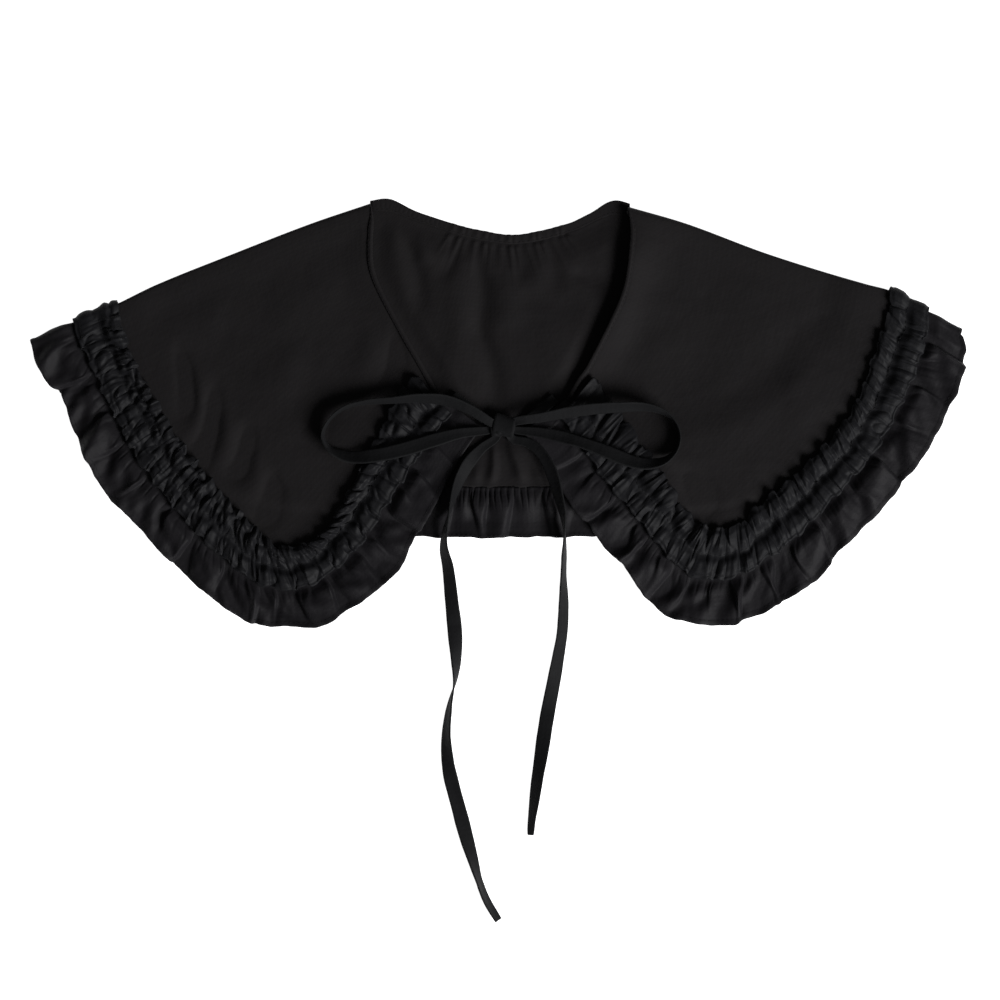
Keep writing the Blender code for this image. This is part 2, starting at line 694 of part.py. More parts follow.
def front_panel(side, name):
    """One pointed front, from the shoulder fold to its tip."""
    ribs = side.ruffle_ribs
    gap = SEAM_GAP
    tip = ribs.knots[side.tip_rib]
    seam = [ribs.seam(t, gap) for t in np.linspace(0, tip, 12)]
    outer = [ribs.seam(t, gap) for t in np.linspace(ribs.length, tip, 14)]
    seam[0] = side.neck.at(1)
    outer[0] = side.shoulder_seam.at(1)
    shoulder, edge = side.shoulder_seam, Curve(seam)
    neck, seam_side = side.neck, Curve(outer)
    across = FOLD_SHARES
    along = np.concatenate(([0.018], np.linspace(0.07, 1, 12)))

    def rows(sign):
        grid = []
        for angle in reversed(FOLD_ANGLES):
            row = []
            for u in across:
                place = shoulder.at(u)
                front, back = front_middle(side, place), back_middle(place)
                row.append(around_fold(side, place, front, back, angle, sign * CLOTH / 2, 1))
            grid.append(row)
        for v in along:
            row = []
            for u in across:
                place = coons(shoulder, edge, neck, seam_side, u, v)
                relief = fold_relief(side.folds, place) if sign > 0 else 0.0
                row.append(np.array([*place, front_middle(side, place) + sign * CLOTH / 2 + relief]))
            grid.append(row)
        return grid

    shell(name, rows(1), rows(-1), "panel")


def neck_gather_list():
    """Gathers of the back neckline: middle x, half width, fullness."""
    start, end = -27.0, 37.0
    pitch = (end - start) / NECK_GATHERS
    rows = []
    for i in range(NECK_GATHERS):
        middle = start + (i + 0.5) * pitch + 0.5 * math.sin(2.1 * i)
        rows.append((middle, pitch * 0.5, 0.72 + 0.28 * math.sin(1.9 * i + 0.7)))
    return rows


NECK_GATHER_ROWS = neck_gather_list()


def neck_fullness(x):
    """How full the neckline's gathers are at an x."""
    total = 0.0
    for middle, half, full in NECK_GATHER_ROWS:
        total = max(total, full * bump((x - middle) / half))
    return total


def back_panel():
    """The back panel, its neckline gathered, with both sides turned up round the shoulder folds."""
    gap = SEAM_GAP
    seam = [BACK.seam(t, gap) for t in np.linspace(0, BACK.length, 25)]
    seam[0], seam[-1] = LEFT.shoulder_seam.at(1), RIGHT.shoulder_seam.at(1)
    neck, hem = BACK_NECKLINE, Curve(seam)
    left, right = LEFT.shoulder_seam, RIGHT.shoulder_seam
    line = neck.line(400)
    shares = [0.03, 0.07, 0.12, 0.18, 0.24]
    for middle, half, _ in NECK_GATHER_ROWS:
        for x in (middle - half * 0.96, middle - half * 0.3, middle + half * 0.3):
            shares.append(float(np.interp(x, line[:, 0], np.linspace(0, 1, 400))))
    shares += [0.75, 0.82, 0.88, 0.93, 0.97]
    lower_shares = (0.03, 0.12, 0.24, 0.36, 0.50, 0.64, 0.76, 0.88, 0.97)

    def row_at(down, columns, sign):
        row = []
        for angle in reversed(FOLD_ANGLES):
            place = left.at(down)
            front = front_middle(LEFT, place)
            row.append(around_fold(LEFT, place, front, back_middle(place), angle, -sign * CLOTH / 2, -1))
        for share in columns:
            place = coons(neck, hem, left, right, share, down)
            relief = 0.0
            if sign > 0:
                below_neck = nearest(line, place)[0]
                rise = float(smoothstep((below_neck - CASING_WIDTH) / 3.0))
                fade = 1 - float(smoothstep((below_neck - 8.0) / NECK_GATHER_REACH))
                top_x = neck.at(share)[0]
                relief = NECK_GATHER_HEIGHT * neck_fullness(top_x) * rise * fade
                relief += fold_relief(BACK_FOLDS, place)
            row.append(np.array([*place, back_middle(place) + sign * CLOTH / 2 + relief]))
        for angle in FOLD_ANGLES:
            place = right.at(down)
            front = front_middle(RIGHT, place)
            row.append(around_fold(RIGHT, place, front, back_middle(place), angle, -sign * CLOTH / 2, -1))
        return row

    tops = [row_at(down, shares, 1) for down in FOLD_SHARES]
    bottoms = [row_at(down, lower_shares, -1) for down in FOLD_SHARES]
    shell("panel_back", tops, bottoms, "panel")


def back_strip(travels, shares, height_at, middle_at):
    """Rows of points along the back's trim or ruffle, both ends turned up round the shoulder folds.

    height_at gives the distance up from the cloth's middle and middle_at the middle itself.
    """
    rows = []
    ends = ((LEFT, 0.0, tuple(reversed(FOLD_ANGLES))), (RIGHT, BACK.length, FOLD_ANGLES))

    def turned(side, travel, angles):
        made = []
        for angle in angles:
            row = []
            for share in shares:
                place = BACK.point(travel, share)
                front = front_middle(side, place)
                middle = middle_at(place, share)
                row.append(around_fold(side, place, front, middle, angle, -height_at(travel, share), -1))
            made.append(row)
        return made

    rows += turned(*ends[0])
    for travel in travels:
        row = []
        for share in shares:
            place = BACK.point(travel, share)
            row.append(np.array([*place, middle_at(place, share) + height_at(travel, share)]))
        rows.append(row)
    rows += turned(*ends[1])
    return rows


def back_ruffle():
    """The back's ruffle: low hidden waves, and fuller folds where it shows below the bow."""
    travels = np.linspace(3.4, BACK.length - 3.4, BACK_RUFFLE_SECTIONS)
    pitch = BACK.length / HIDDEN_WAVES
    start = SEAM_GAP / 2 / 27.0

    def middle_at(place, share):
        return back_ruffle_middle(share)

    def rise(travel, share):
        grow = float(smoothstep((share - 0.5) / 0.5))
        x = BACK.point(travel, 1.0)[0]
        calm = float(smoothstep((abs(x - 3) - 34) / 10))
        height = HIDDEN_WAVE_HEIGHT * (0.5 - 0.5 * math.cos(2 * math.pi * travel / pitch)) * calm
        for middle, half, tall in BACK_WAVES:
            height += tall * bump((x - middle) / half)
        ends = float(smoothstep(min(travel, BACK.length - travel) / 12.0))
        return CLOTH / 2 + height * grow * ends

    def rest(travel, share):
        return -CLOTH / 2

    tops = back_strip(travels, (start, 0.42, 0.60, 0.80, 1.0), rise, middle_at)
    bottoms = back_strip(travels, (start, 0.42, 0.70, 1.0), rest, middle_at)
    shell("ruffle_back", tops, bottoms, "ruffle")


def back_trim():
    """The back's ruched trim, pressed flat under the back."""
    travels = np.linspace(3.4, BACK.length - 3.4, 60)
    rest = TRIM_BACK_HEIGHT + SEAM_GAP
    outer = TRIM_OUTER_SHARE

    def middle_at(place, share):
        return rest + CLOTH / 2

    def upper(travel, share):
        return -(CLOTH / 2 + SEAM_GAP)

    def lower(travel, share):
        return -(CLOTH / 2 + SEAM_GAP + TRIM_BACK_HEIGHT)

    tops = back_strip(travels, (-1.0, 0.0, outer), upper, middle_at)
    bottoms = back_strip(travels, (-1.0, outer), lower, middle_at)
    shell("trim_back", tops, bottoms, "trim")


def neck_casing():
    """The gathered elastic casing along the back neckline."""
    line = BACK_NECKLINE.line(400)
    shares = list(np.linspace(0.05, 0.25, 5))
    for middle, half, _ in NECK_GATHER_ROWS:
        for x in (middle - half * 0.96, middle - half * 0.4, middle + half * 0.1, middle + half * 0.5):
            shares.append(float(np.interp(x, line[:, 0], np.linspace(0, 1, 400))))
    shares += list(np.linspace(0.75, 0.95, 5))
    base = CLOTH + SEAM_GAP

    def row_at(share, steps, puff):
        place = BACK_NECKLINE.at(share)
        ahead = BACK_NECKLINE.at(min(share + 0.002, 1)) - BACK_NECKLINE.at(max(share - 0.002, 0))
        inward = np.array([ahead[1], -ahead[0]]) / np.linalg.norm(ahead)
        full = neck_fullness(place[0])
        row = []
        for step in steps:
            spot = place + inward * CASING_WIDTH * step
            height = base + (CASING_HEIGHT + CASING_PUFF * full * math.sin(math.pi * (0.12 + 0.76 * step)) if puff else 0)
            row.append(np.array([*spot, height]))
        return row

    tops = [row_at(s, (0.0, 0.35, 0.7, 1.0), True) for s in shares]
    bottoms = [row_at(s, (0.0, 1.0), False) for s in shares]
    shell("neck_casing_back", tops, bottoms, "panel")


def neck_edge(side, name, sign):
    """The narrow stitched edge along a front's neckline."""
    tops, bottoms = [], []
    for share in np.linspace(0.10, 0.985, 22):
        place = side.neck.at(share)
        ahead = side.neck.at(min(share + 0.01, 1)) - side.neck.at(share - 0.01)
        inward = sign * np.array([ahead[1], -ahead[0]]) / np.linalg.norm(ahead)
        upper, lower = [], []
        for step in (0.0, 0.5, 1.0):
            spot = place + inward * NECK_EDGE_WIDTH * step
            rest = front_middle(side, spot) + CLOTH / 2 + SEAM_GAP + 0.1
            crown = 0.25 if step == 0.5 else 0.0
            upper.append(np.array([*spot, rest + NECK_EDGE_HEIGHT + crown]))
            if step != 0.5:
                lower.append(np.array([*spot, rest]))
        tops.append(upper)
        bottoms.append(lower)
    shell(name, tops, bottoms, "panel")


def strap(name, rows):
    """A flat tie along rows of x, y, underside height, roll and width."""
    rows = np.asarray(rows, float)
    knots = lengths(rows[:, 0:2])
    count = int(knots[-1] / STRAP_STEP) + 2
    table = np.array([spline(rows, knots, knots[-1] * i / (count - 1)) for i in range(count)])
    tops, bottoms = [], []
    for i, (x, y, rest, roll, width) in enumerate(table):
        ahead = table[min(i + 1, count - 1), 0:2] - table[max(i - 1, 0), 0:2]
        ahead /= np.linalg.norm(ahead)
        angle = math.radians(roll)
        across = np.array([-ahead[1] * math.cos(angle), ahead[0] * math.cos(angle), -math.sin(angle)])
        normal = np.array([-ahead[1] * math.sin(angle), ahead[0] * math.sin(angle), math.cos(angle)])
        rise = (width * abs(math.sin(angle)) + STRAP_THICKNESS * abs(math.cos(angle))) / 2
        centre = np.array([x, y, max(rest, STRAP_FLOOR) + rise])
        edge, face = across * width / 2, normal * STRAP_THICKNESS / 2
        tops.append([centre - edge + face, centre + edge + face])
        bottoms.append([centre - edge - face, centre + edge - face])
    shell(name, tops, bottoms, "tie")


def bow_knot():
    """The small hard knot that the loops and the free ends leave."""
    start = np.array(KNOT_START)
    points, faces = [], []
    for share, half_depth, half_height in KNOT_RINGS:
        for k in range(KNOT_SIDES):
            turn = 2 * math.pi * k / KNOT_SIDES
            offset = (share * KNOT_LENGTH, half_depth * math.cos(turn), half_height * math.sin(turn))
            points.append(start + np.array(offset))
    last = len(KNOT_RINGS) - 1
    for ring in range(last):
        for k in range(KNOT_SIDES):
            after = (k + 1) % KNOT_SIDES
            here, beyond = ring * KNOT_SIDES, (ring + 1) * KNOT_SIDES
            faces.append((here + k, here + after, beyond + after, beyond + k))
    faces.append(tuple(range(KNOT_SIDES)))
    faces.append(tuple(last * KNOT_SIDES + k for k in range(KNOT_SIDES)))
    make_object("bow_knot", points, faces, "tie")


def main():
    """Build the collar, from the lowest layer up."""
    clear_scene()
    back_trim()
    back_ruffle()
    back_panel()
    neck_casing()
    for side, word, sign in ((LEFT, "left", 1), (RIGHT, "right", -1)):
        front_panel(side, f"panel_front_{word}")
        front_ruffle(side, f"ruffle_front_{word}")
        front_trim(side, f"trim_front_{word}")
        neck_edge(side, f"neck_edge_{word}", sign)
    bow_knot()
    straps = {
        "tie_root_left": LEFT_ROOT,
        "tie_root_right": RIGHT_ROOT,
        "bow_loop_left": LEFT_LOOP,
        "bow_loop_right": RIGHT_LOOP,
        "tie_tail_left": LEFT_TAIL,
        "tie_tail_right": RIGHT_TAIL,
    }
    for name, rows in straps.items():
        strap(name, rows)


main()
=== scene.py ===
"""The look of a black cotton false collar laid flat, dressed over its CAD model.

Lengths in the tables are millimetres in the sewing pattern's own plan, and become metres in the frame when each
mesh is made. Each piece of cloth is a thin closed shell that follows its solid, with the folds, gathers and tucks
that the cloth shows. X runs across the collar, Y towards the back of the neck and Z up.
"""

import enum
import functools
import logging
import math
from dataclasses import dataclass, field

import bpy
import numpy as np
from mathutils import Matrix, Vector


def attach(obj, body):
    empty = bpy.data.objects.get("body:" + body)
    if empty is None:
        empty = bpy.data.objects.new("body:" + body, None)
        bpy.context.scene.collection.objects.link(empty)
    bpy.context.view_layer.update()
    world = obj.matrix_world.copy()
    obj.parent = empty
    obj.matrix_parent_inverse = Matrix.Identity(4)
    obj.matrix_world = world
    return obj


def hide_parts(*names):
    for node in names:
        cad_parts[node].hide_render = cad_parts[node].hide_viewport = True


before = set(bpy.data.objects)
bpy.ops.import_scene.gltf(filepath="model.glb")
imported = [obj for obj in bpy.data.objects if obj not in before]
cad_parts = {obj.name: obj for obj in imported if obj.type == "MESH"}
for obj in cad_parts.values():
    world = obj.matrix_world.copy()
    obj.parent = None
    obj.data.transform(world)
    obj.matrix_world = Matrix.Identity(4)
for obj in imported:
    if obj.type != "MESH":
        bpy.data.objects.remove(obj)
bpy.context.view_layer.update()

LOG = logging.getLogger("collar")
WHITE = (1.0, 1.0, 1.0, 1.0)

MM = 0.001
CENTRE = np.array([-0.62, -0.70, 0.0])
Rows = tuple[tuple[float, ...], ...]
Band = tuple[float, float]
Array = np.ndarray
Object = bpy.types.Object

CLOTH = 1.0
SEAM_GAP = 0.3
LAYER_GAP = 0.6
TRIM_OUTER_SHARE = 0.36
TRIM_START = 3.6
BACK_END_GAP = 3.4
TRIM_BACK_HEIGHT = 2.0
CASING_WIDTH = 4.5
NECK_EDGE_WIDTH = 2.8
STRAP_WIDTH = 8.0
STRAP_FLOOR, STRAP_LOWEST = 0.05, 0.02
WIDER_EDGE, WIDER_FROM, WIDER_OVER = 10.0, 110.0, 70.0
FOLD_LOFT, FOLD_LOFT_REACH = 1.2, 14.0
# Rows of points round the shoulder fold, and places measured at a time
PANEL_TURN, STRIP_TURN = 9, 7
CHUNK = 20000

# Heights of undersides above the surface, against the distance inside the back's hem
BACK_REST = ((45, 2.3), (62, 0.0))
FRONT_REST = ((-32, 0.0), (-8, 2.8), (8, 3.0), (14, 3.9), (48, 3.9), (72, 1.6))
BACK_RUFFLE_REST = ((0.0, 2.3), (0.42, 2.3), (0.70, 0.0), (1.0, 0.0))

# Ribs across the edge of each piece: trim's inner edge x y, seam x y, ruffle's hem x y
LEFT_RIBS = (
    (-42, 25.5, -32, 9.5, -9.5, -7.5), (-50, 17, -38, 2, -16, -16.5), (-56, 7.5, -45, -5.5, -22, -25.5),
    (-62.5, -3.5, -51.5, -14, -27.5, -35), (-69, -16, -58, -22.5, -33, -45.5), (-80, -37.5, -70.5, -40.5, -44, -65),
    (-92.5, -58.5, -83.5, -60, -56.5, -86), (-100, -66.5, -91.5, -69.5, -67.5, -97),
    (-108, -71, -100.5, -78, -83, -107.5), (-116, -72.5, -111.5, -84, -99.5, -116.5),
    (-124, -71, -121.5, -85, -117, -117), (-130.5, -65.5, -133, -80.5, -133.5, -115.5),
    (-137.5, -58.5, -143.5, -72, -150, -106.5), (-152.5, -43, -161, -54.5, -177.5, -84),
    (-166.5, -25.5, -176.5, -34.5, -199.5, -60), (-179, -7.5, -189, -14.5, -218.5, -39.5),
    (-190.5, 11, -201, 7, -229.5, -16), (-201, 31.5, -211, 29, -241.5, 10), (-207.5, 51.5, -219, 49, -254, 29),
    (-209, 60.5, -220, 56, -257.5, 39.5),
)
RIGHT_RIBS = (
    (49, 23, 37, 8, 11.5, -9), (59, 12, 48, -1, 22.5, -20), (67.5, -1, 56, -12.5, 29.5, -33),
    (77.5, -15.5, 64.5, -25, 38.5, -48), (93.5, -38.5, 82.5, -45.5, 59, -73), (100.5, -49, 90, -56, 69.5, -84.5),
    (108, -58, 99, -66.5, 79, -98), (115.5, -62.5, 109, -75, 93.5, -110.5), (122.5, -62.5, 119.5, -78, 112, -115.5),
    (130.5, -60.5, 132, -75, 133.5, -114), (139, -53, 143, -66.5, 153.5, -105), (150, -44, 155, -56.5, 170, -94.5),
    (172.5, -23.5, 178, -34.5, 202, -60), (192.5, 1, 198.5, -9, 228.5, -29), (204.5, 31, 213, 21, 248, 6),
    (209, 45, 218.5, 36.5, 254, 22), (213, 58.5, 223, 50.5, 256.5, 34), (214.5, 67.5, 225, 62, 254.5, 45.5),
)
BACK_RIBS = (
    (-209, 60.5, -220, 56, -257.5, 39.5), (-197.5, 34, -208, 28.5, -241.5, 11.5), (-181, 13, -189, 5, -213, -18.5),
    (-153.5, -7.5, -160, -17.5, -175.5, -45.5), (-115, -23, -117.5, -33.5, -126, -61),
    (-65.5, -28.5, -66, -39.5, -67.5, -66), (0, -30.5, 0, -41, 0, -67.5), (65.5, -28.5, 66, -39.5, 67.5, -66),
    (115, -23, 117.5, -33.5, 126, -61), (153.5, -7.5, 160, -17.5, 175.5, -45.5), (183, 14.5, 191, 6, 213, -17.5),
    (202, 38, 212, 31.5, 241.5, 14.5), (214.5, 67.5, 225, 62, 254.5, 45.5),
)
LEFT_SHOULDER = ((-70.5, 115.5), (-104.5, 104), (-147, 87.5), (-188, 71), (-209, 60.5), (-220, 56), (-257.5, 39.5))
RIGHT_SHOULDER = ((71, 113.5), (104, 104), (148.5, 87.5), (201.5, 71), (214.5, 67.5), (225, 62), (254.5, 45.5))
SHOULDER_SEAM_POINT = 5
LEFT_NECK = ((-70.5, 115.5), (-69, 106), (-69.5, 93), (-69, 82), (-65.5, 71), (-52.5, 46), (-41, 26), (-32, 9.5))
RIGHT_NECK = ((71, 113.5), (72, 104), (72, 95.5), (69, 72.5), (64, 58), (48, 26), (43, 19), (37, 8))
BACK_NECK = (
    (-70.5, 115.5), (-59, 115), (-43.5, 109.5), (-21.5, 102.5), (-10.5, 100), (5, 97.5), (17, 98.5), (39, 104),
    (50, 109), (60, 113), (71, 113.5),
)

# Tucks of each ruffle: rib row, depth (share of the puff), half width, how far towards the hem, sideways pull
LEFT_TUCKS = (
    (0.55, 0.7, 2.2, 0.9, 1.6), (1.30, 0.8, 2.0, 0.6, -1.4), (2.10, 0.9, 2.4, 1.0, 2.0), (2.95, 0.7, 2.0, 0.5, -1.2),
    (3.75, 0.9, 2.6, 1.0, 2.4), (4.45, 0.6, 2.0, 0.6, 1.2), (5.15, 1.0, 3.0, 1.1, -2.8), (5.80, 0.7, 2.2, 0.7, 1.6),
    (6.50, 0.9, 2.4, 0.9, 2.0), (7.30, 0.7, 2.2, 0.6, -1.6), (8.10, 0.9, 2.8, 1.0, 2.4), (8.80, 0.7, 2.0, 0.5, 1.4),
    (9.45, 1.0, 2.6, 0.9, -2.2), (10.2, 0.8, 2.4, 0.8, 2.0), (10.9, 0.9, 2.8, 1.1, 2.4), (11.5, 0.7, 2.0, 0.5, -1.4),
    (12.2, 0.9, 2.6, 0.8, 2.2), (13.0, 1.0, 3.0, 1.2, 3.2), (13.7, 0.8, 2.4, 0.7, -1.8), (14.5, 0.9, 2.8, 0.9, 2.4),
    (15.4, 0.8, 2.6, 0.8, 2.2), (16.2, 0.8, 2.4, 0.7, -2.0), (17.0, 1.0, 3.2, 1.2, 3.4), (18.1, 0.7, 2.4, 0.5, 1.6),
)
RIGHT_TUCKS = (
    (0.60, 0.8, 2.2, 0.8, -1.8), (1.40, 0.7, 2.0, 0.5, 1.4), (2.10, 0.9, 2.4, 0.9, -2.0), (2.80, 0.7, 2.0, 0.6, 1.4),
    (3.55, 1.0, 2.8, 1.1, -2.6), (4.30, 0.8, 2.2, 0.7, 1.8), (5.05, 0.9, 2.6, 0.9, -2.2), (5.75, 0.7, 2.2, 0.6, 1.6),
    (6.45, 0.9, 2.6, 0.9, -2.4), (7.20, 0.8, 2.4, 0.8, -2.0), (7.95, 0.7, 2.0, 0.6, 1.6), (8.60, 0.9, 2.4, 0.8, 2.0),
    (9.15, 1.0, 2.8, 1.1, -2.6), (9.75, 0.9, 2.4, 0.9, 2.2), (10.3, 0.9, 2.4, 1.0, -2.2), (10.9, 1.0, 2.6, 1.0, 2.4),
    (11.5, 1.0, 3.0, 1.2, -3.2), (12.2, 0.8, 2.4, 0.7, 2.0), (12.8, 0.9, 2.6, 1.0, -2.6), (13.4, 0.8, 2.4, 0.7, 2.0),
    (14.1, 0.8, 2.4, 0.8, -2.2), (14.9, 0.7, 2.2, 0.6, 1.8), (15.7, 1.0, 2.8, 1.1, -2.8),
)
BACK_TUCKS = (
    (4.60, 0.8, 3.5, 1.2, 2.0), (5.00, 0.8, 3.0, 1.2, -2.0), (5.35, 0.8, 3.0, 1.2, 1.6), (5.62, 0.9, 2.6, 1.2, -1.6),
    (5.78, 0.9, 2.0, 0.7, 1.8), (5.90, 0.9, 1.9, 0.8, -1.4), (6.11, 1.0, 3.6, 1.4, -2.2), (6.37, 1.0, 4.0, 1.4, 2.4),
    (6.62, 0.8, 2.8, 1.0, -1.8), (6.95, 0.8, 3.0, 1.2, 2.0), (7.35, 0.8, 3.5, 1.2, -2.0),
)

# Creases of each panel: start x y, end x y, half width, height (below 0 for a trough)
LEFT_CREASES = (
    (-176, 34, -171, -2, 5, -1.5), (-167, 22, -166, -12, 6, 0.8), (-157, 12, -167, -30, 6, -1.7),
    (-150, 0, -153, -26, 6, 0.7), (-138, -8, -145, -36, 6, -1.3), (-124, -34, -130, -62, 6, -1.3),
    (-134, -20, -137, -44, 6, 0.6), (-112, 34, -128, 8, 12, 0.8), (-56, 44, -64, 8, 6, -1.2),
    (-70, 44, -76, 20, 8, 0.8), (-98, 8, -104, -18, 8, -0.9), (-90, 74, -124, 56, 14, 0.6),
    (-150, 60, -184, 44, 10, 0.5),
)
RIGHT_CREASES = (
    (97, -30, 118, -54, 7, -1.2), (86, -20, 100, -38, 8, 0.7), (84, 66, 92, 30, 14, 0.6), (130, 74, 150, 40, 16, 0.6),
    (176, 56, 190, 28, 10, -0.6), (160, 20, 172, -4, 10, 0.6), (120, 20, 136, -12, 16, 0.5),
)
BACK_CREASES = (
    (-53, 99, -43, 56, 5, -1.7), (-23, 96, -31, 75, 4, -1.3), (-12, 86, -12, 40, 6, -1.9), (-11, 46, -2, 2, 6, -1.9),
    (-26, 78, -25, 20, 8, 1.1), (3, 74, 4, 48, 8, 1.1), (5, 90, 15, 76, 5, -1.2), (27, 92, 31, 68, 5, -1.1),
    (41, 78, 59, 68, 5, -1.4), (14, 64, 44, 55, 7, -0.9), (24, 50, 34, 20, 10, 0.7), (-44, 100, -40, 84, 4, 0.9),
)

# Folds of the back between the bow and its ruffle, in the same columns
BACK_LOW_CREASES = (
    (-12, -30, -17, -46, 3.0, 1.5), (-3, -18, -7, -46, 2.4, 2.0), (6, -17, 13, -46, 3.6, 2.4),
    (20, -32, 25, -46, 2.8, 1.2),
)

# Flat ties: x, y, height of the underside, roll from lying flat in degrees, and width where it isn't the strap's
LEFT_ROOT = (
    (-26.0, 10.0, 3.6, 0, 6.0), (-18.5, 4.6, 3.2, 8, 6.0), (-11.5, -0.6, 2.6, 8, 5.0), (-5.2, -5.2, 2.2, 0, 4.5),
)
RIGHT_ROOT = (
    (31.0, 8.8, 4.2, 0, 6.0), (24.5, 3.4, 3.6, -8, 6.0), (17.5, -1.6, 2.8, -8, 5.0), (9.9, -5.6, 2.2, 0, 4.5),
)
LEFT_LOOP = (
    (-5.0, -4.4, 8.2, 4, 4.8), (-16.0, 2.2, 8.4, 26, 6.0), (-29.2, 7.2, 7.4, 44), (-43.5, 8.5, 7.2, 56),
    (-57.8, 7.4, 6.4, 66), (-73.2, 6.3, 4.6, 78), (-84.7, 3.3, 4.6, 82), (-93.0, -3.3, 4.8, 84),
    (-96.8, -12.1, 4.8, 82), (-93.0, -19.2, 5.4, 70), (-82.0, -23.7, 6.4, 38), (-67.1, -22.8, 9.6, 16),
    (-51.7, -19.5, 9.8, 14), (-35.8, -14.6, 8.4, 16), (-21.5, -10.8, 7.0, 12, 6.0), (-5.4, -9.0, 5.6, 2, 4.4),
)
RIGHT_LOOP = (
    (9.6, -4.0, 8.2, -4, 4.8), (22.6, -2.2, 8.8, -26, 6.0), (36.3, 0.4, 9.8, -36, 7.0), (51.2, 2.4, 10.2, -42),
    (66.6, 3.4, 9.4, -48), (80.3, 3.6, 7.0, -62), (91.0, 0.4, 5.2, -78), (97.2, -6.1, 4.8, -84),
    (99.0, -13.2, 4.9, -84), (96.8, -20.4, 5.4, -78), (90.2, -25.9, 8.0, -60), (80.0, -27.6, 10.2, -40),
    (70.0, -25.4, 10.6, -30), (58.0, -20.6, 10.6, -28), (46.0, -16.2, 10.0, -26, 7.0), (34.7, -12.9, 8.6, -20, 7.0),
    (21.5, -10.2, 7.0, -12, 5.6), (9.8, -9.0, 5.6, -2, 4.4),
)
LEFT_TAIL = (
    (-2.4, -13.8, 3.4, 0, 4.6), (-9.4, -18.8, 3.3, 3, 5.4), (-17.0, -27.6, 4.4, 30), (-23.0, -39.6, 4.6, 54),
    (-27.0, -53.4, 5.6, 84), (-29.7, -64.9, 4.6, 110), (-30.3, -73.7, 2.2, 124), (-28.1, -84.2, 0.3, 140),
    (-26.0, -103.4, 0.05, 162), (-24.3, -120.0, 0.05, 186), (-23.6, -135.3, 0.05, 228), (-24.2, -147.0, 0.05, 258),
    (-27.2, -160.6, 0.05, 288), (-29.0, -176.0, 0.05, 307), (-28.3, -190.3, 0.05, 330), (-26.4, -201.3, 0.05, 348),
    (-22.0, -218.0, 0.05, 362), (-17.6, -234.3, 0.05, 380), (-14.3, -245.3, 0.05, 406), (-11.0, -256.5, 0.05, 424),
    (-6.8, -267.5, 0.05, 420, 7.0), (-0.3, -278.8, 0.05, 405, 5.0),
)
RIGHT_TAIL = (
    (7.6, -13.8, 3.4, 0, 4.6), (16.0, -15.8, 5.0, -10, 5.4), (23.0, -21.4, 6.6, -24, 6.6), (28.4, -31.0, 7.2, -38),
    (32.0, -43.0, 7.2, -46), (35.0, -55.6, 6.4, -68), (36.0, -67.1, 4.6, -96), (35.8, -78.1, 1.6, -108),
    (35.5, -90.0, 0.2, -116), (35.6, -104.0, 0.1, -129), (34.8, -120.0, 0.1, -139), (32.7, -133.1, 0.1, -148),
    (30.2, -147.0, 0.1, -160), (26.4, -167.2, 0.1, -182), (22.8, -190.3, 0.1, -206), (21.0, -201.3, 0.1, -216),
    (19.3, -214.0, 0.1, -222, 7.0), (18.0, -224.0, 0.1, -222, 5.4), (17.4, -232.0, 0.1, -200, 3.6),
)

# The strap that crosses the knot, in the same columns, and the middle of the knot
KNOT_WRAP = (
    (3.8, -0.8, 6.6, -4, 11.2), (3.3, -2.6, 8.0, -8, 12.0), (2.7, -6.4, 8.4, -10, 12.6), (2.1, -10.2, 8.0, -8, 12.0),
    (1.7, -12.2, 6.4, -4, 11.0),
)
KNOT_MIDDLE = (2.3, -7.2, 6.2)

# Cloth that a gathered strip takes, as a share of the seam that it is sewn to
RUFFLE_FULLNESS = 1.5
TRIM_FULLNESS = 1.6
# Cut sizes of what shows: width of each strip and box of each panel in metres, the back's gathers in square metres
RUFFLE_CUT_WIDTH, BACK_RUFFLE_CUT_WIDTH = 0.0355, 0.032
TRIM_CUT_WIDTH, BACK_TRIM_CUT_WIDTH = 0.0265, 0.023
BACK_GATHERS_CUT = 0.0009


class Slot(enum.Enum):
    """Material slots of the record."""

    PANEL = "panel_cloth"
    RUFFLE = "ruffle_cloth"
    TRIM = "trim_cloth"
    TIE = "tie_cloth"


class Layer(enum.Enum):
    """Which way a layer turns round the shoulder fold."""

    FRONT = 1
    BACK = -1


def ease(value: Array, start: float | Array = 0.0, over: float | Array = 1.0) -> Array:
    """Ease from 0 at the start to 1 at a distance over it."""
    share = np.clip((value - start) / over, 0.0, 1.0)
    return share * share * (3 - 2 * share)


def bell(value: Array, middle: float, half: float) -> Array:
    """A rounded rise, 1 at the middle and fading out beyond its half width."""
    return np.exp(-(((value - middle) / half) ** 2))


def profile(table: Rows, place: Array) -> Array:
    """Read heights from rows of place and height, eased between the rows.

    Args:
        table: Rows of place and height.
        place: Places to read.

    Returns:
        The height at each place.
    """
    result = np.full(np.shape(place), float(table[0][1]))
    for (start, low), (end, high) in zip(table, table[1:]):
        result = result + (high - low) * ease(place, start, end - start)
    return result


def lengths(points: Array) -> Array:
    """Distance travelled along points.

    Args:
        points: Rows of coordinates.

    Returns:
        The distance from the first point to each.
    """
    steps = np.linalg.norm(np.diff(points, axis=0), axis=1)
    return np.concatenate(([0.0], np.cumsum(steps)))


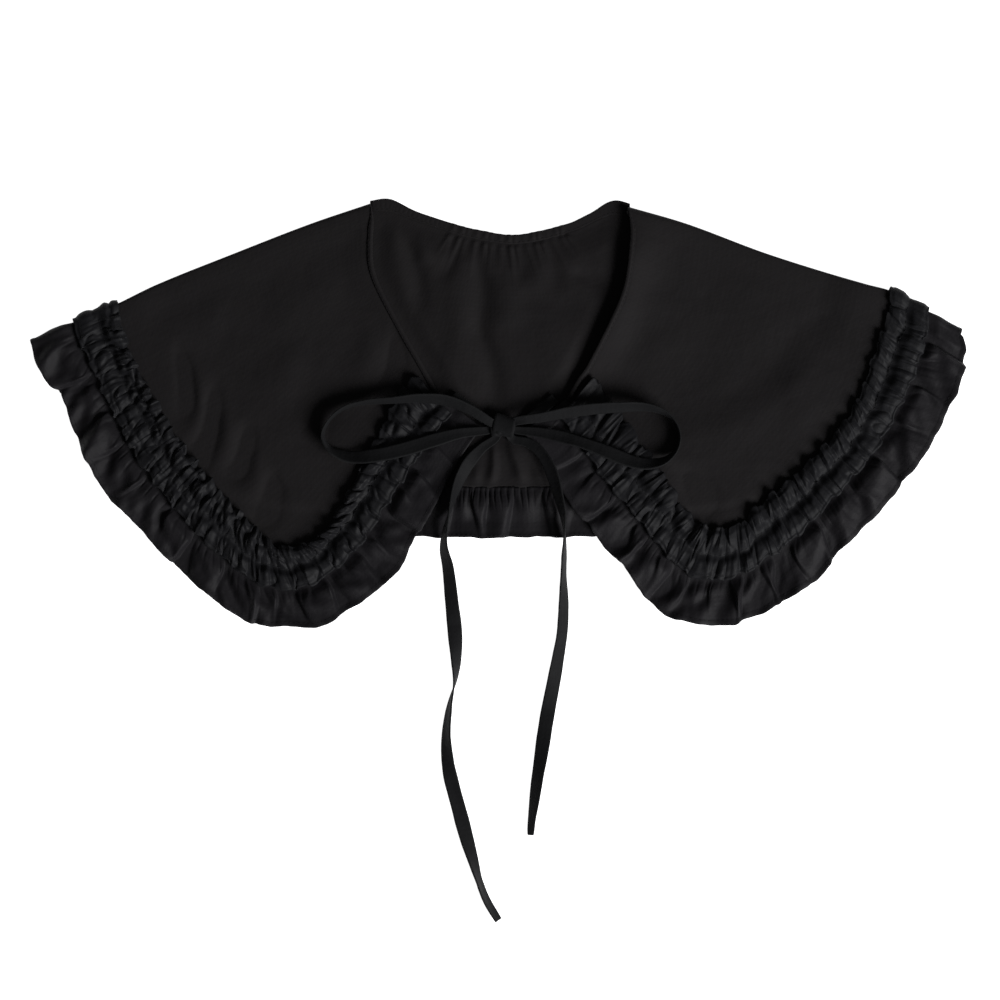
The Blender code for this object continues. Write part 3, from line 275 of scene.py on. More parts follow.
def spline(rows: Array, knots: Array, places: Array) -> Array:
    """Read a smooth curve through rows.

    Args:
        rows: Values at the knots.
        knots: Rising places of the rows.
        places: Where to read.

    Returns:
        One row of values for each place.
    """
    last = len(rows) - 1
    before, after = np.maximum(np.arange(last + 1) - 1, 0), np.minimum(np.arange(last + 1) + 1, last)
    slopes = (rows[after] - rows[before]) / (knots[after] - knots[before])[:, None]
    index = np.clip(np.searchsorted(knots, places, side="right") - 1, 0, last - 1)
    span = (knots[index + 1] - knots[index])[:, None]
    share = (places - knots[index])[:, None] / span
    square, cube = share ** 2, share ** 3
    return (
        rows[index] * (2 * cube - 3 * square + 1)
        + slopes[index] * span * (cube - 2 * square + share)
        + rows[index + 1] * (3 * square - 2 * cube)
        + slopes[index + 1] * span * (cube - square)
    )


def nearest(line: Array, places: Array) -> tuple[Array, Array]:
    """Distance from places to a line of points.

    Args:
        line: Points of the line in plan.
        places: Places in plan, one a row.

    Returns:
        The distances, and on which side of the line each place lies.
    """
    start, run = line[:-1], np.diff(line, axis=0)
    square = (run * run).sum(1)
    distance, side = np.empty(len(places)), np.empty(len(places))
    for first in range(0, len(places), CHUNK):
        part = slice(first, first + CHUNK)
        away = places[part, None, :] - start[None]
        share = np.clip((away * run[None]).sum(2) / square, 0, 1)
        gap = away - run[None] * share[:, :, None]
        reach = np.sqrt((gap * gap).sum(2))
        index = reach.argmin(1)
        row = np.arange(len(index))
        distance[part] = reach[row, index]
        chosen = gap[row, index]
        side[part] = np.sign(run[index, 0] * chosen[:, 1] - run[index, 1] * chosen[:, 0])
    return distance, side


def ripple(place: Array, pitch: float, seed: float) -> Array:
    """A gentle uneven wave from three sines.

    Args:
        place: Places along the wave.
        pitch: Longest wave.
        seed: Shifts the waves, so that two ripples differ.

    Returns:
        Heights from about -1 to 1.
    """
    turn = 2 * math.pi * place / pitch
    return (
        0.5 * np.sin(turn + 1.7 * seed)
        + 0.3 * np.sin(turn * 1.73 + 4.1 * seed)
        + 0.2 * np.sin(turn * 2.91 + 2.3 * seed)
    )


def ripples(rows: Rows, place: Array, seed: float, start: float | Array = 0.0, beside: float | Array = 0.0) -> Array:
    """Add ripples to a start.

    Args:
        rows: Height, pitch, shift of the seed and its change for each side, one row a ripple.
        place: Places along the ripples.
        seed: Chooses them.
        start: What they are added to.
        beside: -1 or 1 for the side that each place is on.

    Returns:
        The sum.
    """
    for height, pitch, shift, change in rows:
        start = start + height * ripple(place, pitch, seed + shift + change * beside)
    return start


def puffs(travel: Array, across: Array, pitch: float, slant: float, seed: int, waves: int = 4) -> Array:
    """Rounded puffs between uneven creases that run across a strip and lean.

    Args:
        travel: Distances along the strip.
        across: Places across it, about 1 wide.
        pitch: Mean distance between every second crease.
        slant: How much the creases lean.
        seed: Chooses the pattern.
        waves: How many waves make it.

    Returns:
        0 on a crease, rounding up to 1 on a puff.
    """
    draw = np.random.default_rng(seed)
    total = np.zeros(np.shape(travel))
    for _ in range(waves):
        along = draw.uniform(0.7, 1.35) / pitch
        lean = draw.normal(0.0, slant)
        total += np.sin(2 * math.pi * (travel * along + across * lean) + draw.uniform(0, 2 * math.pi))
    return np.minimum(np.abs(total) / (1.1 * math.sqrt(waves / 2)), 1.0) ** 0.65


def plan_area(there: list[Array], back: list[Array]) -> float:
    """Area inside an outline in plan, in square metres.

    Args:
        there: Lines of the outline in order.
        back: The lines that close it, each to be read backwards.

    Returns:
        The area.
    """
    x, y = np.concatenate([*there, *(line[::-1] for line in back)]).T
    return float(abs((x * np.roll(y, -1) - y * np.roll(x, -1)).sum()) / 2 * MM * MM)


def right_of(place: Array) -> Array:
    """Unit directions in plan to the right of a route, one for each of its points."""
    ahead = np.gradient(place, axis=0)
    return np.column_stack([ahead[:, 1], -ahead[:, 0]]) / np.linalg.norm(ahead, axis=1)[:, None]


class Curve:
    """A smooth curve through points in plan, read by its share from 0 to 1."""

    def __init__(self, points: Rows | Array) -> None:
        """Keep the points and their distances.

        Args:
            points: Points of the curve.
        """
        self.points = np.asarray(points, float)
        self.knots = lengths(self.points)
        self.length = float(self.knots[-1])

    def at(self, share: Array | float) -> Array:
        """Read the curve.

        Args:
            share: One share or an array of them.

        Returns:
            One point, or a row for each share.
        """
        read = spline(self.points, self.knots, np.atleast_1d(share) * self.length)
        return read if np.ndim(share) else read[0]

    def line(self, count: int) -> Array:
        """Evenly spaced points along the whole curve."""
        return self.at(np.linspace(0, 1, count))


class Ribs:
    """The edge of a piece, as ribs from the trim's inner edge over the seam to the hem."""

    def __init__(self, rows: Rows, hem_weight: float) -> None:
        """Measure the ribs.

        Args:
            rows: Inner, seam and hem points of each rib.
            hem_weight: Share of the hem's length in the travel, the rest being the seam's.
        """
        self.rows = np.asarray(rows, float)
        self.knots = lengths(self.rows[:, 2:4]) * (1 - hem_weight) + lengths(self.rows[:, 4:6]) * hem_weight
        self.length = float(self.knots[-1])

    def seam_length(self) -> float:
        """Length of the seam in metres."""
        return float(lengths(self.rows[:, 2:4])[-1]) * MM

    def travel(self, row: float) -> float:
        """Distance along the edge at a fractional rib row."""
        return float(np.interp(row, np.arange(len(self.knots)), self.knots))

    def point(self, travel: Array, across: Array) -> Array:
        """Places in plan.

        Args:
            travel: Distance along the edge.
            across: -1 at the trim's inner edge, 0 at the seam, 1 at the hem.

        Returns:
            One row of x and y for each pair.
        """
        rib = spline(self.rows, self.knots, np.clip(travel, 0, self.length))
        end = np.where((across < 0)[:, None], rib[:, 0:2], rib[:, 4:6])
        return rib[:, 2:4] + (end - rib[:, 2:4]) * np.abs(across)[:, None]

    def from_knot(self, travel: Array, across: Array) -> Array:
        """Distance of each place on a strip from the middle of the knot."""
        x, y = self.point(travel.ravel(), across.ravel()).T
        return np.hypot(x - KNOT_MIDDLE[0], y - KNOT_MIDDLE[1]).reshape(travel.shape)

    def seam(self, travel: Array, shift: float) -> Array:
        """The seam, moved towards the trim's inner edge.

        Args:
            travel: Distances along the edge.
            shift: How far to move.

        Returns:
            One row of x and y for each distance.
        """
        rib = spline(self.rows, self.knots, travel)
        reach = rib[:, 0:2] - rib[:, 2:4]
        return rib[:, 2:4] + reach * shift / np.linalg.norm(reach, axis=1)[:, None]


@dataclass
class Side:
    """One half of the collar, with its shoulder fold, neckline and folds."""

    word: str
    ribs: Rows
    tip_rib: int
    shoulder_points: Rows
    neck_points: Rows
    tucks: Rows
    creases: Rows
    lift: float
    neck_loft: float
    seed: float
    inward_sign: int
    lift_reach: float = 13.0
    neck_loft_reach: float = 34.0

    def __post_init__(self) -> None:
        """Work out the curves and the way in from the fold."""
        self.trim_ribs = Ribs(self.ribs, 0.0)
        self.ruffle_ribs = Ribs(self.ribs, 0.65)
        self.shoulder = Curve(self.shoulder_points)
        self.shoulder_seam = Curve(self.shoulder_points[: SHOULDER_SEAM_POINT + 1])
        self.neck = Curve(self.neck_points)
        self.fold_line, self.neck_line = self.shoulder.line(40), self.neck.line(60)
        run = self.fold_line[-1] - self.fold_line[0]
        inward = np.array([run[1], -run[0]]) / np.linalg.norm(run)
        self.inward = inward if inward[1] < 0 else -inward

    def middle(self, places: Array) -> Array:
        """Height of the middle of the front's cloth.

        Args:
            places: Places in plan.

        Returns:
            Their heights.
        """
        distance, _ = nearest(self.fold_line, places)
        corner = np.linalg.norm(places - self.fold_line[0], axis=1)
        loft = FOLD_LOFT * bell(distance, 0, FOLD_LOFT_REACH)
        loft = loft + self.neck_loft * bell(corner, 0, self.neck_loft_reach)
        edge, _ = nearest(self.neck_line, places)
        along = ease(places[:, 1], 4.0, 50.0)
        lift = self.lift * (0.25 + 0.75 * along) * ease(distance, 0, 30.0) * bell(edge, 0, self.lift_reach)
        return profile(FRONT_REST, hem_distance(places)) + CLOTH / 2 + loft + lift


BACK = Ribs(BACK_RIBS, 0.65)
BACK_HEM = BACK.point(np.linspace(0, BACK.length, 81), np.ones(81))
BACK_NECKLINE = Curve(BACK_NECK)


def hem_distance(places: Array) -> Array:
    """Distance inside the back's hem, evened out where the edge is wider at the shoulders.

    Args:
        places: Places in plan.

    Returns:
        The distances, negative outside the hem.
    """
    distance, side = nearest(BACK_HEM, places)
    signed = distance * side
    extra = WIDER_EDGE * ease(np.abs(places[:, 0]), WIDER_FROM, WIDER_OVER)
    return signed - extra * np.clip((signed - 17.0) / 25.0, 0.0, 1.0)


def back_middle(places: Array) -> Array:
    """Height of the middle of the back panel's cloth."""
    return profile(BACK_REST, hem_distance(places)) + CLOTH / 2


def back_ruffle_middle(across: Array) -> Array:
    """Height of the middle of the back ruffle's cloth."""
    return profile(BACK_RUFFLE_REST, across) + CLOTH / 2


LEFT = Side(
    "left", LEFT_RIBS, tip_rib=10, shoulder_points=LEFT_SHOULDER, neck_points=LEFT_NECK, tucks=LEFT_TUCKS,
    creases=LEFT_CREASES, lift=1.8, neck_loft=1.2, seed=1.0, inward_sign=1,
)
RIGHT = Side(
    "right", RIGHT_RIBS, tip_rib=8, shoulder_points=RIGHT_SHOULDER, neck_points=RIGHT_NECK, tucks=RIGHT_TUCKS,
    creases=RIGHT_CREASES, lift=6.4, neck_loft=3.6, seed=2.0, inward_sign=-1,
)


def turn_rows(side: Side, fold: Array, back: Array, height: Array, layer: Layer, count: int) -> Array:
    """Rows of the quarter turn from the shoulder fold out to a layer.

    Args:
        side: The half of the collar.
        fold: Places on the fold line.
        back: Height of the back cloth's middle there.
        height: Distance out from the cloth's middle.
        layer: Which layer turns.
        count: How many rows.

    Returns:
        Rows of points, the first on the fold.
    """
    front = side.middle(fold)
    radius = (front - back) / 2 - SEAM_GAP / 2
    centre = (front + back) / 2 + layer.value * SEAM_GAP / 2
    rows = []
    for angle in np.linspace(0, math.pi / 2, count):
        plan = fold + side.inward[None] * (radius - (radius + height) * math.cos(angle))[:, None]
        rows.append(np.column_stack([plan, centre + layer.value * (radius + height) * math.sin(angle)]))
    return np.array(rows)


def coons(low: Curve, high: Curve, near: Curve, far: Curve, across: Array, along: Array) -> Array:
    """Places inside four edges.

    Args:
        low: Edge that runs across at along 0.
        high: Edge that runs across at along 1.
        near: Edge that runs along at across 0.
        far: Edge that runs along at across 1.
        across: Shares across.
        along: Shares along.

    Returns:
        One place a row.
    """
    u, v = across[:, None], along[:, None]
    ruled = (1 - v) * low.at(across) + v * high.at(across)
    other = (1 - u) * near.at(along) + u * far.at(along)
    corners = (1 - u) * (1 - v) * low.at(0.0) + u * (1 - v) * low.at(1.0)
    return ruled + other - corners - (1 - u) * v * high.at(0.0) - u * v * high.at(1.0)


def crease_height(creases: Rows, places: Array) -> Array:
    """Height that soft creases add.

    Args:
        creases: Rows of start, end, half width and height.
        places: Places in plan.

    Returns:
        Their heights, below 0 in a trough.
    """
    total = np.zeros(len(places))
    for x1, y1, x2, y2, half, height in creases:
        start, run = np.array([x1, y1], float), np.array([x2 - x1, y2 - y1], float)
        share = (places - start) @ run / (run @ run)
        bow = 0.06 * np.linalg.norm(run) * np.sin(math.pi * np.clip(share, 0, 1))
        normal = np.array([-run[1], run[0]]) / np.linalg.norm(run)
        off = (places - start) @ normal - bow
        wide = half * (0.75 + 0.5 * share)
        fade = np.exp(-np.abs((share - 0.5) / 0.52) ** 4)
        total += height * fade * bell(off, 0, wide)
    return total


def micro_wrinkles(places: Array, seed: float) -> Array:
    """Small uneven undulations of cloth that has been folded and worn.

    Args:
        places: Places in plan.
        seed: Chooses the pattern.

    Returns:
        Their heights.
    """
    x, y = places[:, 0], places[:, 1]
    broad = ripple(x + 0.35 * y, 64.0, seed) * ripple(y - 0.2 * x, 52.0, seed + 0.7)
    fine = ripple(0.8 * x + 0.6 * y, 21.0, seed + 1.9) * ripple(y - 0.5 * x, 26.0, seed + 3.1)
    return 0.42 * broad + 0.12 * fine


def quads(*corners: Array) -> Array:
    """Four-sided faces from grids of their corners."""
    return np.stack([corner.ravel() for corner in corners], axis=1)


@dataclass
class Shell:
    """A closed piece of cloth between a grid of top points and a grid of bottom points."""

    name: str
    tops: Array
    bottoms: Array

    def build(self, slot: Slot, *nodes: str) -> Object:
        """Make and dress the piece, with a UV map in metres along and across the cloth.

        Args:
            slot: Its finish.
            nodes: CAD nodes that it stands for.

        Returns:
            The piece.
        """
        rows, wide, narrow = self.tops.shape[0], self.tops.shape[1], self.bottoms.shape[1]
        top = np.arange(rows * wide).reshape(rows, wide)
        low = rows * wide + np.arange(rows * narrow).reshape(rows, narrow)
        points = np.vstack([self.tops.reshape(-1, 3), self.bottoms.reshape(-1, 3)])
        faces = np.vstack([
            quads(top[:-1, :-1], top[:-1, 1:], top[1:, 1:], top[1:, :-1]),
            quads(low[:-1, :-1], low[1:, :-1], low[1:, 1:], low[:-1, 1:]),
            quads(top[:-1, 0], top[1:, 0], low[1:, 0], low[:-1, 0]),
            quads(top[:-1, -1], low[:-1, -1], low[1:, -1], top[1:, -1]),
        ])
        caps = self._cap(top[0], low[0], points) + self._cap(top[-1], low[-1], points, True)
        return dress(make_mesh(self.name, points, faces.tolist() + caps, self._uv(points, top, low)), slot, *nodes)

    def _cap(self, upper: Array, lower: Array, points: Array, turned: bool = False) -> list[tuple]:
        """Triangles that close one end.

        Args:
            upper: Top points of the end.
            lower: Bottom points of the end.
            points: All points.
            turned: Whether the faces look the other way.

        Returns:
            The triangles.
        """
        first, second = lengths(points[upper]), lengths(points[lower])
        first, second = first / first[-1], second / second[-1]
        faces, i, j = [], 0, 0
        while i < len(upper) - 1 or j < len(lower) - 1:
            if j == len(lower) - 1 or (i < len(upper) - 1 and first[i + 1] <= second[j + 1]):
                face = (upper[i], lower[j], upper[i + 1])
                i += 1
            else:
                face = (upper[i], lower[j], lower[j + 1])
                j += 1
            faces.append(tuple(int(v) for v in (face[::-1] if turned else face)))
        return faces

    def _uv(self, points: Array, top: Array, low: Array) -> Array:
        """Lengths along and across, in metres.

        Args:
            points: All points.
            top: Numbers of the top points.
            low: Numbers of the bottom points.

        Returns:
            A row for each point.
        """
        uv = np.zeros((len(points), 2))
        for grid in (top, low):
            middle = grid[:, grid.shape[1] // 2]
            along = lengths(points[middle])
            row = grid[grid.shape[0] // 2]
            uv[grid.ravel(), 0] = np.repeat(along, grid.shape[1]) * MM
            uv[grid.ravel(), 1] = np.tile(lengths(points[row]), grid.shape[0]) * MM
        return uv


def add_object(name: str, data: bpy.types.ID) -> Object:
    """Add an object to the scene.

    Args:
        name: The object's name.
        data: Its mesh, light or camera.

    Returns:
        The object.
    """
    made = bpy.data.objects.new(name, data)
    bpy.context.scene.collection.objects.link(made)
    return made


def make_mesh(name: str, points: Array, faces: list, uv: Array | None = None) -> Object:
    """Add an object from points in millimetres.

    Args:
        name: The object's name.
        points: Points, one a row.
        faces: Faces as point numbers.
        uv: Coordinates for each point.

    Returns:
        The object, with its faces pointing out.
    """
    mesh = bpy.data.meshes.new(name)
    mesh.from_pydata(((points - CENTRE) * MM).tolist(), [], faces)
    mesh.update()
    fan = np.array([(f[0], f[i], f[i + 1]) for f in faces for i in range(1, len(f) - 1)])
    a, b, c = (points[fan[:, k]] for k in range(3))
    if float((a * np.cross(b, c)).sum()) < 0:
        mesh.flip_normals()
    if uv is not None:
        layer = mesh.uv_layers.new(name="weave")
        corner = np.empty(len(mesh.loops), dtype=np.int32)
        mesh.loops.foreach_get("vertex_index", corner)
        layer.data.foreach_set("uv", uv[corner].astype(np.float32).ravel())
    mesh.shade_smooth()
    return add_object(name, mesh)


def tube_faces(rings: int, sides: int) -> list[list[int]]:
    """Faces of a closed tube whose points run ring by ring.

    Args:
        rings: How many rings.
        sides: Points in each ring.

    Returns:
        Point numbers of the walls and the two ends.
    """
    index = np.arange(rings * sides).reshape(rings, sides)
    beside = np.roll(index, -1, axis=1)
    walls = np.stack([index[:-1], beside[:-1], beside[1:], index[1:]], axis=2).reshape(-1, 4).tolist()
    return [*walls, index[0][::-1].tolist(), index[-1].tolist()]


def set_inputs(node: bpy.types.Node, values: dict[str, object]) -> None:
    """Set a node's own sockets by name."""
    for name, value in values.items():
        node.inputs[name].default_value = value


def add_node(tree: bpy.types.NodeTree, kind: str, links: dict, values: dict, **options: str) -> bpy.types.Node:
    """Add a shader node.

    Args:
        tree: The material's nodes.
        kind: Type of the node.
        links: The socket that feeds each linked input.
        values: The value of each other input.
        options: Settings of the node.

    Returns:
        The node.
    """
    node = tree.nodes.new("ShaderNode" + kind)
    for name, value in options.items():
        setattr(node, name, value)
    for name, source in links.items():
        tree.links.new(source, node.inputs[name])
    set_inputs(node, values)
    return node


@dataclass(frozen=True)
class Cloth:
    """A cotton cloth's finish. Thread, weave and crumple are metres, scales are turns a metre."""

    colour: tuple[float, float, float]
    light: tuple[float, float, float]
    roughness: float
    sheen: float
    roughness_spread: float = 0.07
    sheen_roughness: float = 0.45
    sheen_tint: tuple[float, float, float, float] = (0.75, 0.74, 0.80, 1.0)
    specular: float = 0.11
    thread: float = 0.00042
    distortion: float = 0.6
    weave_depth: float = 0.00003
    crumple: float = 0.00025
    cloud_scale: float = 38.0
    slub_scale: float = 240.0

    def build(self, name: str) -> bpy.types.Material:
        """Make the material: woven threads, small crumples and slight colour variation.

        Args:
            name: Its name.

        Returns:
            The material.
        """
        made = bpy.data.materials.new(name)
        made.use_nodes = True
        tree, link = made.node_tree, made.node_tree.links.new
        shader = tree.nodes["Principled BSDF"]
        set_inputs(shader, {
            "Sheen Weight": self.sheen, "Sheen Roughness": self.sheen_roughness, "Sheen Tint": self.sheen_tint,
            "Specular IOR Level": self.specular,
        })
        place = add_node(tree, "TexCoord", {}, {}).outputs
        vector = {"Vector": place["Object"]}
        cloud = add_node(tree, "TexNoise", vector, {"Scale": self.cloud_scale, "Detail": 4.0}).outputs["Fac"]
        colours = {"A": (*self.colour, 1.0), "B": (*self.light, 1.0)}
        mix = add_node(tree, "Mix", {"Factor": cloud}, colours, data_type="RGBA")
        link(mix.outputs["Result"], shader.inputs["Base Color"])
        spread = {"To Min": self.roughness - self.roughness_spread, "To Max": self.roughness + self.roughness_spread}
        link(add_node(tree, "MapRange", {"Value": cloud}, spread).outputs["Result"], shader.inputs["Roughness"])
        threads = self._bump(tree, {"Height": self._weave(tree, place["UV"])}, self.weave_depth)
        slub = add_node(tree, "TexNoise", vector, {"Scale": self.slub_scale, "Detail": 3.0}).outputs["Fac"]
        link(self._bump(tree, {"Height": slub, "Normal": threads}, self.crumple), shader.inputs["Normal"])
        return made

    def _weave(self, tree: bpy.types.NodeTree, place: bpy.types.NodeSocket) -> bpy.types.NodeSocket:
        """Crossing threads of a plain weave.

        Args:
            tree: The material's nodes.
            place: UV coordinates in metres.

        Returns:
            Their height.
        """
        values = {"Scale": 1.0 / self.thread / 20.0, "Distortion": self.distortion}
        waves = [add_node(tree, "TexWave", {"Vector": place}, values, bands_direction=way) for way in ("X", "Y")]
        links = {index: wave.outputs["Fac"] for index, wave in enumerate(waves)}
        return add_node(tree, "Math", links, {}, operation="MAXIMUM").outputs["Value"]

    def _bump(self, tree: bpy.types.NodeTree, links: dict, depth: float) -> bpy.types.NodeSocket:
        """The normal of a bump with a real depth in metres."""
        return add_node(tree, "Bump", links, {"Strength": 1.0, "Distance": depth}).outputs["Normal"]


CLOTHS = {
    Slot.PANEL: Cloth((0.0072, 0.0064, 0.0068), (0.0092, 0.0082, 0.0087), roughness=0.78, sheen=0.015),
    Slot.RUFFLE: Cloth((0.0062, 0.0057, 0.0067), (0.0090, 0.0083, 0.0098), roughness=0.64, sheen=0.02),
    Slot.TRIM: Cloth((0.0052, 0.0052, 0.0061), (0.0072, 0.0072, 0.0084), roughness=0.61, sheen=0.02),
    Slot.TIE: Cloth((0.0044, 0.0045, 0.0050), (0.0060, 0.0061, 0.0067), roughness=0.74, sheen=0.02),
}


@functools.cache
def material(slot: Slot) -> bpy.types.Material:
    """The one material of a slot, made when it is first asked for."""
    return CLOTHS[slot].build(slot.value)


def dress(piece: Object, slot: Slot, *nodes: str) -> Object:
    """Give a piece its finish and its place on the object.

    Args:
        piece: The new piece.
        slot: Its finish.
        nodes: CAD nodes that it stands for.

    Returns:
        The piece.
    """
    piece.data.materials.append(material(slot))
    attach(piece, "root")
    if nodes:
        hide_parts(*nodes)
    return piece


@dataclass
class FrontPanel:
    """One pointed front."""

    side: Side
    across_count: int = 170
    along_count: int = 170
    first_row: float = 0.045
    crease_depth: float = 1.5
    trough_limit: float = 0.7

    def build(self) -> Object:
        """Make and dress the panel.

        Returns:
            The panel.
        """
        side, ribs = self.side, self.side.ruffle_ribs
        tip = float(ribs.knots[side.tip_rib])
        seam = ribs.seam(np.linspace(0, tip, 12), SEAM_GAP)
        outer = ribs.seam(np.linspace(ribs.length, tip, 14), SEAM_GAP)
        seam[0], outer[0] = side.neck.at(1.0), side.shoulder_seam.at(1.0)
        edges = (side.shoulder_seam, Curve(seam), side.neck, Curve(outer))
        tops = self._grid(edges, 1, self.across_count)
        bottoms = self._grid(edges, -1, 60)
        piece = Shell(f"front_{side.word}_cloth", tops, bottoms).build(Slot.PANEL, f"panel_front_{side.word}")
        lines = [edge.line(60) for edge in edges]
        self.cut_area = plan_area([lines[2], lines[1]], [lines[3], lines[0]])
        self.piece = piece
        return piece

    def declare(self, edge: Object) -> None:
        """Do nothing with the panel or its stitched edge."""

    def _grid(self, edges: tuple[Curve, Curve, Curve, Curve], way: int, columns: int) -> Array:
        """Points of the top or the underside.

        Args:
            edges: Shoulder, front edge, neckline and outer seam.
            way: 1 for the top and -1 for the underside.
            columns: How many points across.

        Returns:
            Rows of points, from the shoulder fold to the front edge.
        """
        side = self.side
        across = np.linspace(0, 1, columns)
        fold = edges[0].at(across)
        half = np.full(columns, way * CLOTH / 2)
        turned = turn_rows(side, fold, back_middle(fold), half, Layer.FRONT, PANEL_TURN)
        along = np.linspace(self.first_row, 1, self.along_count)
        u, v = np.tile(across, len(along)), np.repeat(along, columns)
        plan = coons(*edges, u, v)
        height = side.middle(plan) + way * CLOTH / 2
        fade = ease(v, self.first_row, 0.10) * ease(u, 0, 0.05)
        relief = self.crease_depth * crease_height(side.creases, plan) + micro_wrinkles(plan, side.seed)
        share = 1.0 if way > 0 else 0.55
        height = height + np.maximum(relief * fade * share, -self.trough_limit * (1.0 if way > 0 else 0.45))
        grid = np.column_stack([plan, height]).reshape(len(along), columns, 3)
        return np.concatenate([turned, grid])


def front_strip(side: Side, ribs: Ribs, place: Array, shares: Array, height: Array) -> Array:
    """Points of a strip on a front, its last rows turned down round the shoulder fold.

    Args:
        side: The half of the collar.
        ribs: Its ribs.
        place: Distance along the edge of each point.
        shares: Place across of each point.
        height: Height of each above the cloth's middle.

    Returns:
        Rows of points.
    """
    rows, columns = shares.shape
    plan = ribs.point(place.ravel(), shares.ravel())
    flat = np.column_stack([plan, side.middle(plan) + height.ravel()]).reshape(rows, columns, 3)
    fold = ribs.point(np.full(columns, ribs.length), shares[-1])
    back = np.where(shares[-1] < 0, back_middle(fold), back_ruffle_middle(np.abs(shares[-1])))
    return np.concatenate([flat, turn_rows(side, fold, back, height[-1], Layer.FRONT, STRIP_TURN)[::-1]])


# A tuck: its lean and flare towards the hem, what fades at its end, and the steepness of its two sides
TUCK_LEAN, TUCK_WIDTH, TUCK_FLARE, TUCK_FADE, TUCK_STEEP, TUCK_GENTLE = 1.6, 0.50, 1.9, 0.85, 2.4, 0.58


def tuck_field(ribs: Ribs, tucks: Rows, travel: Array, share: Array) -> tuple[Array, Array]:
    """How deep the tucks are, and how far they pull the cloth sideways.

    Args:
        ribs: The ribs of the edge.
        tucks: Rows of rib row, depth, half width, reach and pull.
        travel: Distances along the edge.
        share: Places across, 0 at the seam and 1 at the hem.

    Returns:
        The height left by the tucks, from 0 to 1, and the pull.
    """
    left = np.ones(np.shape(travel))
    pull = np.zeros(np.shape(travel))
    for row, depth, half, reach, drag in tucks:
        middle = ribs.travel(row) + TUCK_LEAN * drag * (share - 0.4)
        wide = half * (TUCK_WIDTH + TUCK_FLARE * share)
        fade = 1 - TUCK_FADE * ease(share - reach, -0.25, 0.5)
        off = (travel - middle) / wide
        steep = np.where(off * np.sign(drag) > 0, off * TUCK_STEEP, off * TUCK_GENTLE)
        left = left * (1 - depth * fade * bell(steep, 0, 1))
        pull = pull - drag * fade * np.exp(-((off - 1.3 * np.sign(drag)) ** 2 / 1.4)) * ease(share, 0, 0.3)
    return left, pull


@dataclass
class FrontRuffle:
    """The gathered ruffle of one front. A band is a place across, and the distance over which it eases."""

    side: Side
    sections: int = 760
    columns: int = 26
    puff: float = 4.3
    hem_puff: float = 3.6
    wall: float = 0.7
    wall_from: float = 0.3
    end_gap: float = 3.2
    end_fade: float = 9.0
    bow_reach: float = 34.0
    bare_band: Band = (0.34, 0.22)
    hem_puff_band: Band = (0.55, 0.45)
    facet_band: Band = (0.42, 0.3)
    gather_band: Band = (0.42, 0.14)
    scallop_band: Band = (0.5, 0.5)
    gather_depth: float = 1.3
    gather_pitch: float = 9.0
    outset: float = 0.028
    tuck_inset: float = 0.050
    drag: float = 1.2
    # Height, share of the travel, lean across, pitch and shift of the seed
    facets: Rows = ((2.3, 1.0, 12.0, 31.0, 1), (0.25, 1.0, -9.0, 13.0, 3), (1.4, 0.5, 26.0, 23.0, 6))
    # Height, pitch, shift of the seed and its change for each side
    swell: Rows = ((0.30, 58.0, 0, 0),)
    outward: Rows = ((0.020, 43.0, 0, 0), (0.008, 15.0, 2, 0))
    # Height, place across and distance of each step of the hem
    hem_steps: Rows = ((0.30, 0.945, 0.012), (-0.25, 0.99, 0.01))

    def build(self) -> Object:
        """Returns:
            The ruffle.
        """
        side, ribs = self.side, self.side.ruffle_ribs
        travel = np.linspace(0, ribs.length - self.end_gap, self.sections)
        shares = np.concatenate([[0.005, 0.18], np.linspace(0.33, 0.93, self.columns - 5), [0.955, 0.985, 1.0]])
        t, f = np.meshgrid(travel, shares, indexing="ij")
        left, pull = tuck_field(ribs, side.tucks, t, f)
        near_end = ease(ribs.length - self.end_gap - t, 0, self.end_fade)
        clear = ease(ribs.from_knot(t, f), self.bow_reach, self.bow_reach)
        bare = ease(f, *self.bare_band)
        body = self.puff + (self.hem_puff - self.puff) * ease(f, *self.hem_puff_band)
        body = body * ripples(self.swell, t, side.seed, 1.0) * (0.45 + 0.55 * clear)
        fine = 1 - puffs(t, f, self.gather_pitch, 0.5, int(10 * side.seed) + 1)
        gather = -self.gather_depth * fine * bell(f, *self.gather_band) * (0.5 + 0.5 * clear)
        facet = np.zeros(t.shape)
        for height, share, lean, pitch, shift in self.facets:
            facet = facet + height * ripple(share * t + lean * f, pitch, side.seed + shift)
        gather = gather + facet * clear * ease(f, *self.facet_band)
        hem = sum(height * ease(f, place, over) for height, place, over in self.hem_steps)
        rise = np.maximum(body * left + gather, 0.0) * bare * (0.25 + 0.75 * near_end) + hem * bare
        height = np.maximum(rise, 0.05) + CLOTH / 2
        outward = ripples(self.outward, t, side.seed, self.outset - self.tuck_inset * (1 - left))
        across = f * (1 + outward * clear * ease(f, *self.scallop_band) * near_end)
        place = t + self.drag * pull * bare * near_end
        tops = front_strip(side, ribs, place, across, height)
        under = np.where(f < self.wall_from, -CLOTH / 2, np.maximum(height - self.wall, -CLOTH / 2 + 0.02))
        keep = np.unique(np.append(np.arange(0, len(shares), 2), len(shares) - 1))
        bottoms = front_strip(side, ribs, place[:, keep], across[:, keep], under[:, keep])
        piece = Shell(f"ruffle_{side.word}_cloth", tops, bottoms).build(Slot.RUFFLE, f"ruffle_front_{side.word}")
        cut = (RUFFLE_CUT_WIDTH, ribs.seam_length() * RUFFLE_FULLNESS)
        self.hem_line = tops[: self.sections, -4]
        return piece


